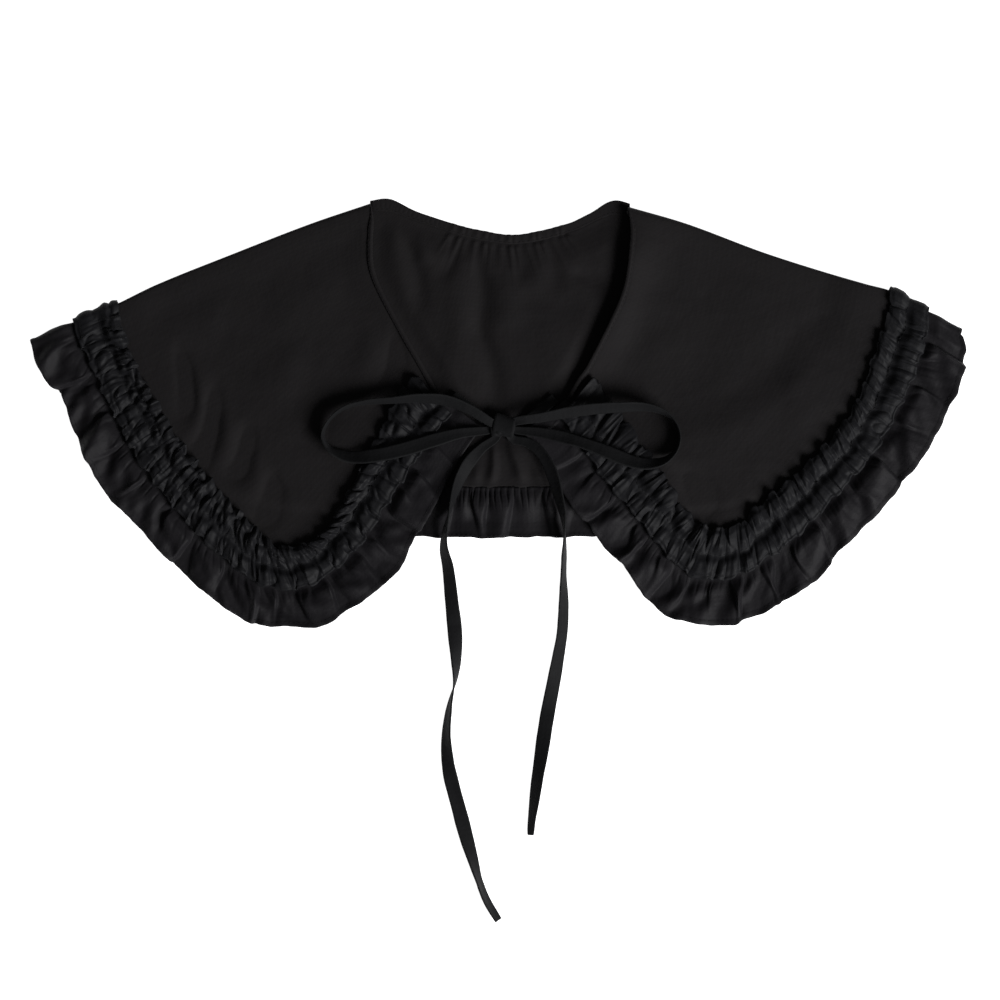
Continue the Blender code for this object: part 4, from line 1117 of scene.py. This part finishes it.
@dataclass
class FrontTrim:
    """The ruched trim of one front: two rows of puffs beside a stitched centre."""

    side: Side
    sections: int = 1150
    columns: int = 35
    low: float = 0.7
    inner_puff: float = 5.0
    outer_puff: float = 4.0
    inner_pitch: float = 22.0
    outer_pitch: float = 26.0
    centre_pitch: float = 14.0
    slant: float = 0.34
    outer_depth: float = 0.8
    centre_depth: float = 0.70
    edge_depth: float = 0.25
    ridge: float = 0.7
    ridge_band: Band = (0.95, 0.04)
    valley_band: Band = (0.02, 0.36)
    shoulder_band: Band = (0.70, 0.30)
    edge_band: Band = (0.45, 0.55)
    base_share: float = 0.94
    end_gap: float = 2.6
    end_fade: float = 8.0
    start_fade: float = 6.0
    bow_reach: float = 78.0
    bow_fade: float = 15.0
    bow_press: float = 0.24
    valley_height: float = 0.26
    mean_depth: float = 0.68
    # Height, pitch, shift of the seed and its change for each side of the centre
    valley: Rows = ((0.20, 29.0, 11, 0),)
    uneven: Rows = ((0.28, 21.0, 0, 1), (0.14, 7.0, 0, 3))
    wander: Rows = ((0.07, 37.0, 7, 0), (0.07, 15.0, 9, 0))
    edge: Rows = ((0.11, 14.0, 5, 1),)
    lean: Rows = ((1.6, 19.0, 0, 2), (0.9, 8.0, 0, 4))
    depth: Rows = ((0.30, 53.0, 8, 0),)

    def build(self) -> Object:
        """Returns:
            The trim.
        """
        side, ribs, seed = self.side, self.side.trim_ribs, self.side.seed
        travel = np.linspace(TRIM_START, ribs.length - self.end_gap, self.sections)
        shares = np.linspace(-1, 1, self.columns)
        shares = np.sign(shares) * np.abs(shares) ** 0.9
        t, f = np.meshgrid(travel, shares, indexing="ij")
        reach, beside = np.abs(f), np.sign(f)
        near_end = ease(ribs.length - self.end_gap - t, 0, self.end_fade)
        left = self._creases(t, f)
        valley = ripples(self.valley, t, seed, self.valley_height)
        row = (valley + (1 - valley) * ease(reach, *self.valley_band)) * (1 - 0.45 * ease(reach, *self.shoulder_band))
        under_bow = 1 - ease(ribs.from_knot(t, f), self.bow_reach, self.bow_fade)
        puff = np.where(f < 0, self.inner_puff, self.outer_puff) * (1 - self.bow_press * under_bow)
        uneven = ripples(self.uneven, t, seed, 1.0, beside)
        height = CLOTH / 2 + LAYER_GAP + self.low + puff * row * left * uneven * (0.5 + 0.5 * near_end)
        height = height + 0.5 * left * (1 - row) + self.ridge * bell(f, *self.ridge_band) * near_end
        wander = ripples(self.wander, t, seed)
        edge = ripples(self.edge, t, seed, np.where(f < 0, 0.06 - 0.24 * (1 - left), 0.0), beside)
        share = f * (1 + edge * ease(reach, *self.edge_band) * near_end) + wander * near_end * (1 - reach ** 2)
        share = np.where(share > 0, share * TRIM_OUTER_SHARE, share)
        lean = ripples(self.lean, t, seed, 0.0, beside)
        place = t + lean * near_end * ease(reach) * ease(t, TRIM_START, self.start_fade)
        tops = front_strip(side, ribs, place, share, height)
        keep = np.linspace(0, self.columns - 1, 7).astype(int)
        base = np.full((self.sections, len(keep)), CLOTH / 2 + LAYER_GAP)
        bottoms = front_strip(side, ribs, place[:, keep], share[:, keep] * self.base_share, base)
        piece = Shell(f"trim_{side.word}_cloth", tops, bottoms).build(Slot.TRIM, f"trim_front_{side.word}")
        cut = (TRIM_CUT_WIDTH, ribs.seam_length() * TRIM_FULLNESS)
        self.stitch_line = tops[: self.sections, self.columns // 2]
        return piece

    def _creases(self, travel: Array, across: Array) -> Array:
        """How much height the creases leave.

        Args:
            travel: Distances along the trim.
            across: Places across, -1 to 1.

        Returns:
            The share of height left.
        """
        reach, seed = np.abs(across), int(10 * self.side.seed)
        depth = ripples(self.depth, travel, self.side.seed, self.mean_depth)
        inner = 1 - depth * (1 - puffs(travel, reach, self.inner_pitch, self.slant, seed + 3))
        outer = 1 - self.outer_depth * depth * (1 - puffs(travel, reach, self.outer_pitch, self.slant, seed + 4))
        centre = 1 - puffs(travel, across, self.centre_pitch, 0.5, seed + 5)
        edge = 1 - puffs(travel, reach, self.inner_pitch, 0.6, seed + 6)
        row = np.where(across < 0, inner, outer)
        near_centre = 1 - self.centre_depth * centre * bell(reach, 0, 0.34)
        near_edge = 1 - self.edge_depth * edge * ease(reach, 0.62, 0.30)
        return row * near_centre * near_edge


@dataclass
class BackPanel:
    """The back panel, gathered at its neckline."""

    across_count: int = 300
    along_count: int = 120
    gathers: int = 15
    gather_start: float = -27.0
    gather_end: float = 37.0
    gather_reach: float = 30.0
    gather_height: float = 1.0
    gather_pitch: float = 9.0
    gather_fade: float = 1.4
    billow: float = 2.1
    billow_over: float = 15.0
    wrinkle: float = 0.35
    seam_rise: float = 0.42
    seam_fade: float = 12.0
    trough_limit: float = 0.45
    side_margin: float = 0.045

    def fullness(self, x: Array) -> Array:
        """How full the neckline's gathers are.

        Args:
            x: Places across the neckline.

        Returns:
            Heights from 0 to 1.
        """
        pitch = (self.gather_end - self.gather_start) / self.gathers
        total = np.zeros(np.shape(x))
        for i in range(self.gathers):
            middle = self.gather_start + (i + 0.5) * pitch + 0.6 * math.sin(2.1 * i)
            full = 0.70 + 0.30 * math.sin(1.9 * i + 0.7)
            total = np.maximum(total, full * bell(x, middle, pitch * 0.34))
        return total

    def build(self) -> Object:
        """Make and dress the panel.

        Returns:
            The panel.
        """
        seam = BACK.seam(np.linspace(0, BACK.length, 25), SEAM_GAP)
        seam[0], seam[-1] = LEFT.shoulder_seam.at(1.0), RIGHT.shoulder_seam.at(1.0)
        edges = (BACK_NECKLINE, Curve(seam), LEFT.shoulder_seam, RIGHT.shoulder_seam)
        first, last = self.side_margin, 1 - self.side_margin
        sides = np.linspace(first, 0.26, 50), np.linspace(0.735, last, 50)
        across = np.concatenate([sides[0], np.linspace(0.265, 0.73, self.across_count - 100), sides[1]])
        along = np.linspace(0, 1, self.along_count) ** 1.25
        tops = self._grid(edges, 1, across, along)
        bottoms = self._grid(edges, -1, np.linspace(first, last, 40), along)
        piece = Shell("back_cloth", tops, bottoms).build(Slot.PANEL, "panel_back")
        there, back = [edges[0].line(80), edges[3].line(60)], [edges[1].line(120), edges[2].line(60)]
        self.cut_area = plan_area(there, back) + BACK_GATHERS_CUT
        self.piece = piece
        return piece

    def declare(self, casing: Object) -> None:
        """Do nothing with the panel or its casing."""

    def _grid(self, edges: tuple[Curve, ...], way: int, across: Array, along: Array) -> Array:
        """Points of the top or the underside.

        Args:
            edges: Neckline, seam, left fold and right fold.
            way: 1 for the top and -1 for the underside.
            across: Shares across.
            along: Shares from the neckline to the seam.

        Returns:
            Rows of points.
        """
        columns = len(across)
        u, v = np.tile(across, len(along)), np.repeat(along, columns)
        plan = coons(*edges, u, v)
        height = back_middle(plan) + way * CLOTH / 2
        if way > 0:
            height = height + np.maximum(self._relief(edges[0], across, len(along), plan), -self.trough_limit)
        grid = np.column_stack([plan, height]).reshape(len(along), columns, 3)
        half = np.full(len(along), -way * CLOTH / 2)
        sides = []
        for side, edge in ((LEFT, edges[2]), (RIGHT, edges[3])):
            fold = edge.at(along)
            turned = turn_rows(side, fold, back_middle(fold), half, Layer.BACK, PANEL_TURN)
            sides.append(turned.swapaxes(0, 1))
        return np.concatenate([sides[0], grid, sides[1][:, ::-1]], axis=1)

    def _relief(self, neckline: Curve, across: Array, rows: int, plan: Array) -> Array:
        """Height that gathers, folds and the casing's seam add to the top.

        Args:
            neckline: The edge that is gathered.
            across: Shares across.
            rows: How many rows of points.
            plan: Places in plan.

        Returns:
            Their heights.
        """
        below_neck, _ = nearest(neckline.line(200), plan)
        top_x = neckline.at(across)[:, 0]
        full = np.tile(self.fullness(top_x), rows)
        rise = ease(below_neck - CASING_WIDTH, -0.6, 2.0)
        reach = self.gather_reach * (0.75 + 0.35 * ripple(top_x, self.gather_pitch, 2.0))
        fade = (1 - ease(below_neck, 3.0, np.tile(reach, rows))) ** self.gather_fade
        swell = ease(below_neck, CASING_WIDTH, self.billow_over)
        step = ease(below_neck, 0.62 * CASING_WIDTH, 0.8) * (1 - ease(below_neck, CASING_WIDTH, self.seam_fade))
        between = ease(plan[:, 0], -34, 12) * ease(-plan[:, 0], -38, 12)
        flatten = ease(-plan[:, 1], 12, 6) * (1 - 0.75 * ease(-plan[:, 1], 33, 6))
        relief = self.gather_height * full * rise * fade
        relief = relief + self._opening(plan) * (self.billow + crease_height(BACK_CREASES, plan)) * swell
        relief = relief + self.wrinkle * micro_wrinkles(plan, 3.0) * rise + self.seam_rise * step
        return relief + crease_height(BACK_LOW_CREASES, plan) * between * flatten

    def _opening(self, plan: Array) -> Array:
        """Which places are inside the neck opening.

        Args:
            plan: Places in plan.

        Returns:
            1 inside, easing to 0 under the fronts' edges and below the knot.
        """
        x, y = plan[:, 0], plan[:, 1]
        left, right = (np.interp(y, line[::-1, 1], line[::-1, 0]) for line in (LEFT.neck_line, RIGHT.neck_line))
        return ease(x - left, 2, 12) * ease(right - x, 2, 14) * ease(y, -4, 22)


def back_strip(place: Array, shares: Array, height: Array, middle: Array) -> Array:
    """Points of a strip on the back, both ends turned up round the shoulder folds.

    Args:
        place: Distance along the edge of each point.
        shares: Place across of each point.
        height: Distance of each up from the cloth's middle.
        middle: Height of the cloth's middle.

    Returns:
        Rows of points.
    """
    rows, columns = shares.shape
    plan = BACK.point(place.ravel(), shares.ravel())
    flat = np.column_stack([plan, (middle + height).ravel()]).reshape(rows, columns, 3)
    ends = []
    for side, travel, row in ((LEFT, 0.0, 0), (RIGHT, BACK.length, -1)):
        fold = BACK.point(np.full(columns, travel), shares[row])
        ends.append(turn_rows(side, fold, middle[row], -height[row], Layer.BACK, STRIP_TURN))
    return np.concatenate([ends[0], flat, ends[1][::-1]])


@dataclass
class BackRuffle:
    """The back's ruffle, seen from its inner side below the bow."""

    sections: int = 2100
    columns: int = 18
    puff: float = 3.8
    hidden_puff: float = 0.9
    hidden_pitch: float = 3.4
    hidden_band: Band = (0.30, 0.4)
    side_share: float = 0.30
    wall: float = 0.7
    lap: float = -0.09
    bow_x: float = 3.0
    shown_reach: Band = (48, 8)
    open_reach: Band = (24, 10)
    gather_height: float = 1.1
    gather_band: Band = (0.12, 0.18)
    gather_pitch: float = 7.0
    end_fade: float = 12.0
    hem_rise: float = 0.25
    outset: float = 0.035
    tuck_inset: float = 0.025
    drag: float = 0.6
    outward: Rows = ((0.015, 21.0, 0, 0),)

    def build(self) -> Object:
        """Make and dress the ruffle, its first row lapped over the panel's seam.

        Returns:
            The ruffle.
        """
        line = np.linspace(BACK_END_GAP, BACK.length - BACK_END_GAP, self.sections)
        shares = np.concatenate([[self.lap, 0.006], np.linspace(0.06, 0.92, self.columns - 5), [0.95, 0.985, 1.0]])
        t, f = np.meshgrid(line, shares, indexing="ij")
        left, pull = tuck_field(BACK, BACK_TUCKS, t, f)
        x = BACK.point(t.ravel(), np.ones(t.size))[:, 0].reshape(t.shape)
        shown = 1 - ease(np.abs(x - self.bow_x), *self.shown_reach)
        open_part = 1 - ease(np.abs(x - self.bow_x), *self.open_reach)
        waves = 0.5 + 0.5 * np.sin(2 * math.pi * t / self.hidden_pitch + 0.8 * np.sin(t / 23.0))
        gather = self.gather_height * bell(f, *self.gather_band) * puffs(t, f, self.gather_pitch, 0.4, 51)
        full = self.puff * left * ease(f, 0, 0.40) * (1 + 0.10 * ease(f, 0.6, 0.4)) + gather
        ends = ease(np.minimum(t, BACK.length - t), 0, self.end_fade)
        hidden = self.hidden_puff * waves * ease(f, *self.hidden_band)
        rise = (full * (self.side_share * shown + (1 - self.side_share) * open_part) + hidden * (1 - shown)) * ends
        hem = self.hem_rise * ease(f, 0.94, 0.01) * shown
        height = np.maximum(rise + hem, np.where(f < 0.05, 0.34 * shown, 0.02)) + CLOTH / 2
        middle = back_ruffle_middle(np.maximum(f, 0.0))
        wavy = ripples(self.outward, t, 4.0, self.outset) - self.tuck_inset * (1 - left)
        share = np.where(f < 0, f * shown, f * (1 + wavy * shown * ease(f)))
        place = t + self.drag * pull * shown
        tops = back_strip(place, share, height, middle)
        keep = np.linspace(0, len(shares) - 1, 8).astype(int)
        hollow = np.maximum(height - self.wall, -CLOTH / 2)[:, keep]
        base = np.where(f[:, keep] > 0.5, hollow, -CLOTH / 2)
        base = np.where(f[:, keep] < 0, CLOTH / 2 + 0.05, base)
        bottoms = back_strip(place[:, keep], share[:, keep], base, middle[:, keep])
        piece = Shell("ruffle_back_cloth", tops, bottoms).build(Slot.RUFFLE, "ruffle_back")
        self.hem_line = tops[STRIP_TURN:-STRIP_TURN, -3]
        return piece


@dataclass
class BackTrim:
    """The back's ruched trim, pressed flat under the back."""

    sections: int = 1000
    columns: int = 17
    pitch: float = 4.8
    relief: float = 1.9
    upper_relief: float = 1.4
    thinnest: float = 0.35
    edge: float = 0.03
    edge_pitch: float = 13.0

    def build(self) -> Object:
        """Make and dress the trim.

        Returns:
            The trim.
        """
        line = np.linspace(BACK_END_GAP, BACK.length - BACK_END_GAP, self.sections)
        half = np.linspace(0.05, 1, self.columns // 2)
        across = np.concatenate([np.linspace(-1, -0.05, self.columns // 2), [0.0], half])
        t, f = np.meshgrid(line, across, indexing="ij")
        uneven = 1 + self.edge * ripple(t, self.edge_pitch, 2.0) * np.abs(f)
        share = np.where(f > 0, f * TRIM_OUTER_SHARE, f) * uneven
        phase = 2 * math.pi * t / self.pitch + 0.9 * np.sin(t / 17.0) + 0.6 * np.sign(f)
        crest = (0.5 + 0.5 * np.cos(phase)) ** 0.5 * ease(np.abs(f), 0, 0.25)
        under_cloth = CLOTH / 2 + SEAM_GAP
        drop = -(under_cloth + TRIM_BACK_HEIGHT) + self.relief * (1 - crest)
        middle = np.full(t.shape, TRIM_BACK_HEIGHT + SEAM_GAP + CLOTH / 2)
        bottoms = back_strip(t, share, drop, middle)
        upper = np.maximum(np.minimum(-under_cloth - self.upper_relief * crest, -under_cloth), drop + self.thinnest)
        tops = back_strip(t, share, upper, middle)
        piece = Shell("trim_back_cloth", bottoms, tops).build(Slot.TRIM, "trim_back")
        return piece


@dataclass
class NeckCasing:
    """The gathered elastic casing inside the back neckline."""

    panel: BackPanel
    sections: int = 620
    columns: int = 12
    low: float = 0.22
    puff: float = 0.65
    outward: float = 1.3
    reach: Band = (2.3, 2.9)
    corners: Rows = ((-62.0, 2.0, 9.0), (64.5, 3.0, 8.0))
    floor: float = 0.15

    def build(self) -> Object:
        """Make and dress the casing, wrapped over the edge of the cloth.

        Returns:
            The casing.
        """
        place = BACK_NECKLINE.at(np.linspace(0.012, 0.988, self.sections - 2))
        first, last = place[0] - place[1], place[-1] - place[-2]
        place = np.vstack([
            place[0] + self.reach[0] * first / np.linalg.norm(first), place,
            place[-1] + self.reach[1] * last / np.linalg.norm(last),
        ])
        inward, travel = right_of(place), lengths(place)
        full = np.maximum(0.8 * self.panel.fullness(place[:, 0]), 0.14 * puffs(travel, 0 * travel, 6.0, 0.0, 61))
        out = np.full(self.sections, self.outward)
        for x, swell, half in self.corners:
            out = out + swell * bell(place[:, 0], x, half)
        steps = np.linspace(0, 1, self.columns)
        base = CLOTH + SEAM_GAP
        width = CASING_WIDTH * (0.84 + 0.06 * full)
        rest = 1 - steps[None]
        reach = width[:, None] * steps[None] - out[:, None] * rest - 0.25 * full[:, None] * rest
        spot = place[:, None, :] + inward[:, None, :] * reach[:, :, None]
        crown = (0.45 + 0.55 * np.sin(math.pi * np.minimum(steps * 1.1, 1.0))) * (1 - 0.75 * ease(steps, 0.55, 0.45))
        height = base + self.low * (1 - 0.6 * steps[None]) + self.puff * full[:, None] * crown[None]
        tops = np.concatenate([spot, height[:, :, None]], axis=2)
        levels = ((None, self.floor), (-SEAM_GAP, self.floor), (-SEAM_GAP, base), (None, base))
        sunk = []
        for column, (offset, level) in enumerate(levels):
            plan = spot[:, 0 if column == 0 else -1] if offset is None else place + inward * offset
            sunk.append(np.column_stack([plan, np.full(self.sections, level)]))
        piece = Shell("casing_cloth", tops, np.stack(sunk, axis=1)).build(Slot.PANEL, "neck_casing_back")
        self.stitch_line = tops[:, -3]
        return piece


@dataclass
class NeckEdge:
    """The narrow stitched edge along a front's neckline."""

    side: Side
    sections: int = 220
    columns: int = 9
    height: float = 0.8

    def build(self) -> Object:
        """Make and dress the edge.

        Returns:
            The edge.
        """
        side = self.side
        share = np.linspace(0.02, 0.985, self.sections)
        taper = 0.25 + 0.75 * ease(share, 0.02, 0.10)
        place = side.neck.at(share)
        inward = side.inward_sign * right_of(place)
        steps = np.linspace(0, 1, self.columns)
        spot = place[:, None, :] + inward[:, None, :] * (NECK_EDGE_WIDTH * taper[:, None] * steps[None])[:, :, None]
        rest = side.middle(spot.reshape(-1, 2)).reshape(self.sections, self.columns) + CLOTH / 2 + SEAM_GAP
        crown = self.height * np.sin(math.pi * (0.10 + 0.80 * steps)) ** 0.6 - 0.25 * bell(steps, 0.82, 0.07)
        tops = np.concatenate([spot, (rest + crown[None] * taper[:, None])[:, :, None]], axis=2)
        pick = [0, self.columns // 2, -1]
        bottoms = np.concatenate([spot[:, pick], rest[:, pick, None]], axis=2)
        piece = Shell(f"neck_edge_{side.word}_cloth", tops, bottoms).build(Slot.PANEL, f"neck_edge_{side.word}")
        self.stitch_line = tops[:, -2]
        return piece


@dataclass
class Tie:
    """A flat stitched strap that follows a route."""

    name: str
    rows: Rows
    tucked: tuple[bool, bool] = (False, False)
    step: float = 1.1
    thickness: float = 1.1
    ring: tuple[tuple[float, float], ...] = (
        (-0.5, 0.0), (-0.47, 0.42), (-0.38, 0.50), (-0.30, 0.36), (0.0, 0.44), (0.30, 0.36), (0.38, 0.50), (0.47, 0.42),
        (0.5, 0.0), (0.47, -0.42), (0.38, -0.50), (0.0, -0.46), (-0.38, -0.50), (-0.47, -0.42),
    )
    path: list = field(default_factory=list)

    def build(self) -> Object:
        """Loft the strap along its route.

        Returns:
            The strap, without a finish.
        """
        rows = self._rows()
        knots = lengths(rows[:, 0:2])
        count = int(knots[-1] / self.step) + 2
        table = spline(rows, knots, np.linspace(0, knots[-1], count))
        travel = np.linspace(0, knots[-1], count)
        width = table[:, 4] * (1 + 0.03 * ripple(travel, 37.0, len(self.name)))
        angle = np.radians(table[:, 3] + 3.0 * ripple(travel, 52.0, len(self.name) + 1))
        sin, cos = np.sin(angle), np.cos(angle)
        left = -right_of(table[:, 0:2])
        across = np.column_stack([left * cos[:, None], -sin])
        normal = np.column_stack([left * sin[:, None], cos])
        rise = (width * np.abs(sin) + self.thickness * np.abs(cos)) / 2
        centre = np.column_stack([table[:, 0:2], np.maximum(table[:, 2], STRAP_FLOOR) + rise])
        ring = np.array(self.ring)
        thick = self.thickness * (1 + 0.10 * ripple(travel, 9.0, len(self.name)))
        points = (
            centre[:, None, :]
            + across[:, None, :] * (width[:, None] * ring[None, :, 0])[:, :, None]
            + normal[:, None, :] * (thick[:, None] * ring[None, :, 1])[:, :, None]
        )
        uv = np.column_stack([np.repeat(travel, len(ring)), np.tile(ring[:, 0] * STRAP_WIDTH, count)]) * MM
        flat = points.reshape(-1, 3)
        flat[:, 2] = np.maximum(flat[:, 2], STRAP_LOWEST)
        place = (centre - CENTRE) * MM
        self.path = [*place[::4].tolist(), place[-1].tolist()]
        self.length = float(lengths(centre)[-1]) * MM
        return make_mesh(self.name, flat, tube_faces(count, len(ring)), uv)

    def _rows(self) -> Array:
        """The route's rows, with a short stretch inside the knot at each tucked end.

        Returns:
            Rows of five.
        """
        rows = np.array([(*row, STRAP_WIDTH)[:5] for row in self.rows])
        inside = [
            [np.concatenate([end[:3] * 0.5 + np.array(KNOT_MIDDLE) * 0.5, [0.0, end[4] * 0.9]])] if tucked else []
            for end, tucked in zip((rows[0], rows[-1]), self.tucked)
        ]
        return np.vstack([*inside[0], rows, *inside[1]])


@dataclass
class Knot:
    """The small flat knot of the bow, a strap pulled tight over the crossing."""

    start: tuple[float, float, float] = (-4.6, -7.5, 6.3)
    length: float = 13.6
    half_depth: float = 4.9
    half_height: float = 3.2
    squareness: float = 0.62
    rings: int = 60
    sides: int = 72

    def build(self) -> Object:
        """Make and dress the knot.

        Returns:
            The knot.
        """
        share = np.linspace(0, 1, self.rings)
        turn = np.linspace(0, 2 * math.pi, self.sides, endpoint=False)
        s, a = np.meshgrid(share, turn, indexing="ij")
        body = 0.50 + 0.50 * np.sin(math.pi * (0.05 + 0.90 * s)) ** 0.45
        crease = 1 - puffs(s * self.length, a / 3.0, 9.0, 0.5, 71)
        radius = body * (1 - 0.13 * crease) + 0.05 * np.sin(3 * a + 7 * s)
        flat_cos, flat_sin = (np.sign(turned) * np.abs(turned) ** self.squareness for turned in (np.cos(a), np.sin(a)))
        x = self.start[0] + self.length * s + 1.1 * np.cos(a) * (s - 0.5)
        y = self.start[1] + self.half_depth * radius * flat_cos + 2.4 * (s - 0.5)
        z = self.start[2] + self.half_height * radius * flat_sin
        points = np.stack([x, y, z], axis=2).reshape(-1, 3)
        uv = np.column_stack([x.ravel(), a.ravel() * 4.5]) * MM
        knot = make_mesh("knot_cloth", points, tube_faces(self.rings, self.sides), uv)
        return dress(knot, Slot.TIE, "bow_knot")


class Bow:
    """The tied bow: two roots, a knot with a strap across it, two loops and two free ends."""

    def build(self) -> list[Object]:
        """Make and dress every strap.

        Returns:
            The pieces.
        """
        knot = Knot().build()
        wrap = dress(Tie("wrap_cloth", KNOT_WRAP, step=0.6).build(), Slot.TIE)
        roots = []
        for word, rows in (("left", LEFT_ROOT), ("right", RIGHT_ROOT)):
            root = Tie(f"root_{word}_cloth", rows, tucked=(False, True)).build()
            roots.append(dress(root, Slot.TIE, f"tie_root_{word}"))
        made = [knot, wrap, *roots]
        both, first = (True, True), (True, False)
        straps = (
            ("loop_left_cloth", LEFT_LOOP, "bow_loop_left", "object", [knot, wrap, roots[0]], both),
            ("loop_right_cloth", RIGHT_LOOP, "bow_loop_right", "object", [roots[1]], both),
            ("tail_left_cloth", LEFT_TAIL, "tie_tail_left", "bare", [], first),
            ("tail_right_cloth", RIGHT_TAIL, "tie_tail_right", "bare", [], first),
        )
        for name, rows, node, far_end, carried, tucked in straps:
            tie = Tie(name, rows, tucked)
            piece = dress(tie.build(), Slot.TIE, node)
            LOG.info("%s is %.3f m long", name, tie.length)
            made.append(piece)
        return made


@dataclass
class Stitches:
    """Short sewn stitches along lines on the cloth."""

    name: str
    radius: float = 0.16
    pitch: float = 2.6
    stitch: float = 1.8
    sides: int = 5
    rise: float = 0.03
    rings: Rows = ((0, 0.45), (0.25, 1.0), (0.75, 1.0), (1, 0.45))

    def build(self, lines: list[Array], slot: Slot) -> Object:
        """Make and dress one joined mesh of stitches.

        Args:
            lines: Points of each line, in millimetres.
            slot: The finish of the thread.

        Returns:
            The stitches.
        """
        points, faces = [], []
        turns = [k * math.pi / (self.sides / 2) for k in range(self.sides)]
        walls = tube_faces(len(self.rings), self.sides)
        for line in lines:
            knots = lengths(line)
            for place in np.arange(1.0, knots[-1] - self.stitch, self.pitch):
                reads = [place + step * self.stitch for step, _ in self.rings]
                spots = [np.array([np.interp(read, knots, column) for column in line.T]) for read in reads]
                along = spots[-1] - spots[0]
                side = np.array([-along[1], along[0], 0.0]) / max(float(np.linalg.norm(along[:2])), 1e-6)
                first = len(points)
                for spot, (_, swell) in zip(spots, self.rings):
                    for turn in turns:
                        up = math.sin(turn) * self.radius * swell + self.rise
                        points.append(spot + side * math.cos(turn) * self.radius * swell + np.array([0, 0, up]))
                faces += [[first + k for k in face] for face in walls]
        return dress(make_mesh(self.name, np.array(points), faces), slot)


@dataclass
class Studio:
    """The floor, the lights and the camera."""

    span: float = 0.550
    lens: float = 100.0
    sensor: float = 36.0
    centre: tuple[float, float] = (0.00117, -0.0466)
    cloth_height: float = 0.004
    key_power: float = 168.0
    key_size: float = 1.6
    key_place: tuple[float, float, float] = (2.1, -1.7, 1.9)
    world: float = 0.11
    floor_half: float = 12.0
    floor_colour: tuple[float, float, float, float] = (0.93, 0.93, 0.93, 1.0)

    def build(self) -> None:
        """Make the camera, the floor, the key light and the sky."""
        scene = bpy.context.scene
        self._camera(scene)
        self._floor()
        self._key()
        scene.world = bpy.data.worlds.new("sky")
        scene.world.use_nodes = True
        set_inputs(scene.world.node_tree.nodes["Background"], {"Color": WHITE, "Strength": self.world})
        scene.view_settings.view_transform = "Standard"
        scene.view_settings.look = "None"

    def _camera(self, scene: bpy.types.Scene) -> None:
        """A long lens that looks straight down.

        Args:
            scene: The scene that it serves.
        """
        data = bpy.data.cameras.new("camera")
        data.lens, data.sensor_width = self.lens, self.sensor
        scene.camera = add_object("camera", data)
        scene.camera.location = (*self.centre, self.span * self.lens / self.sensor + self.cloth_height)

    def _floor(self) -> None:
        """A plain white floor."""
        half = self.floor_half
        mesh = bpy.data.meshes.new("floor")
        mesh.from_pydata([(-half, -half, 0), (half, -half, 0), (half, half, 0), (-half, half, 0)], [], [(0, 1, 2, 3)])
        white = bpy.data.materials.new("floor_white")
        white.use_nodes = True
        set_inputs(white.node_tree.nodes["Principled BSDF"], {
            "Base Color": self.floor_colour, "Roughness": 0.9, "Emission Color": WHITE, "Emission Strength": 1.0,
        })
        mesh.materials.append(white)
        add_object("floor", mesh)

    def _key(self) -> None:
        """A soft key light from the right and the near side."""
        lamp = bpy.data.lights.new("key", "AREA")
        lamp.energy, lamp.size = self.key_power, self.key_size
        key = add_object("key", lamp)
        key.location = self.key_place
        key.rotation_mode = "QUATERNION"
        key.rotation_quaternion = (-Vector(self.key_place)).to_track_quat("-Z", "Y")


def main() -> None:
    """Build the collar from the studio up, and report each piece."""
    logging.basicConfig(level=logging.INFO, format="%(message)s")
    Studio().build()
    pieces = Bow().build()
    panel = BackPanel()
    ruffle_back, casing = BackRuffle(), NeckCasing(panel)
    pieces += [panel.build(), ruffle_back.build(), BackTrim().build(), casing.build()]
    panel.declare(pieces[-1])
    seam_lines, hem_lines = [casing.stitch_line], [ruffle_back.hem_line]
    trim_lines = []
    for side in (LEFT, RIGHT):
        front, ruffle, trim, edge = FrontPanel(side), FrontRuffle(side), FrontTrim(side), NeckEdge(side)
        pieces += [front.build(), ruffle.build(), trim.build(), edge.build()]
        front.declare(pieces[-1])
        seam_lines.append(edge.stitch_line)
        hem_lines.append(ruffle.hem_line)
        trim_lines.append(trim.stitch_line)
    pieces.append(Stitches("neck_stitches").build(seam_lines, Slot.PANEL))
    pieces.append(Stitches("hem_stitches").build(hem_lines, Slot.RUFFLE))
    pieces.append(Stitches("trim_stitches", radius=0.22).build(trim_lines, Slot.TRIM))
    for piece in pieces:
        LOG.info("%s: %d faces", piece.name, len(piece.data.polygons))


if __name__ == "__main__":
    main()
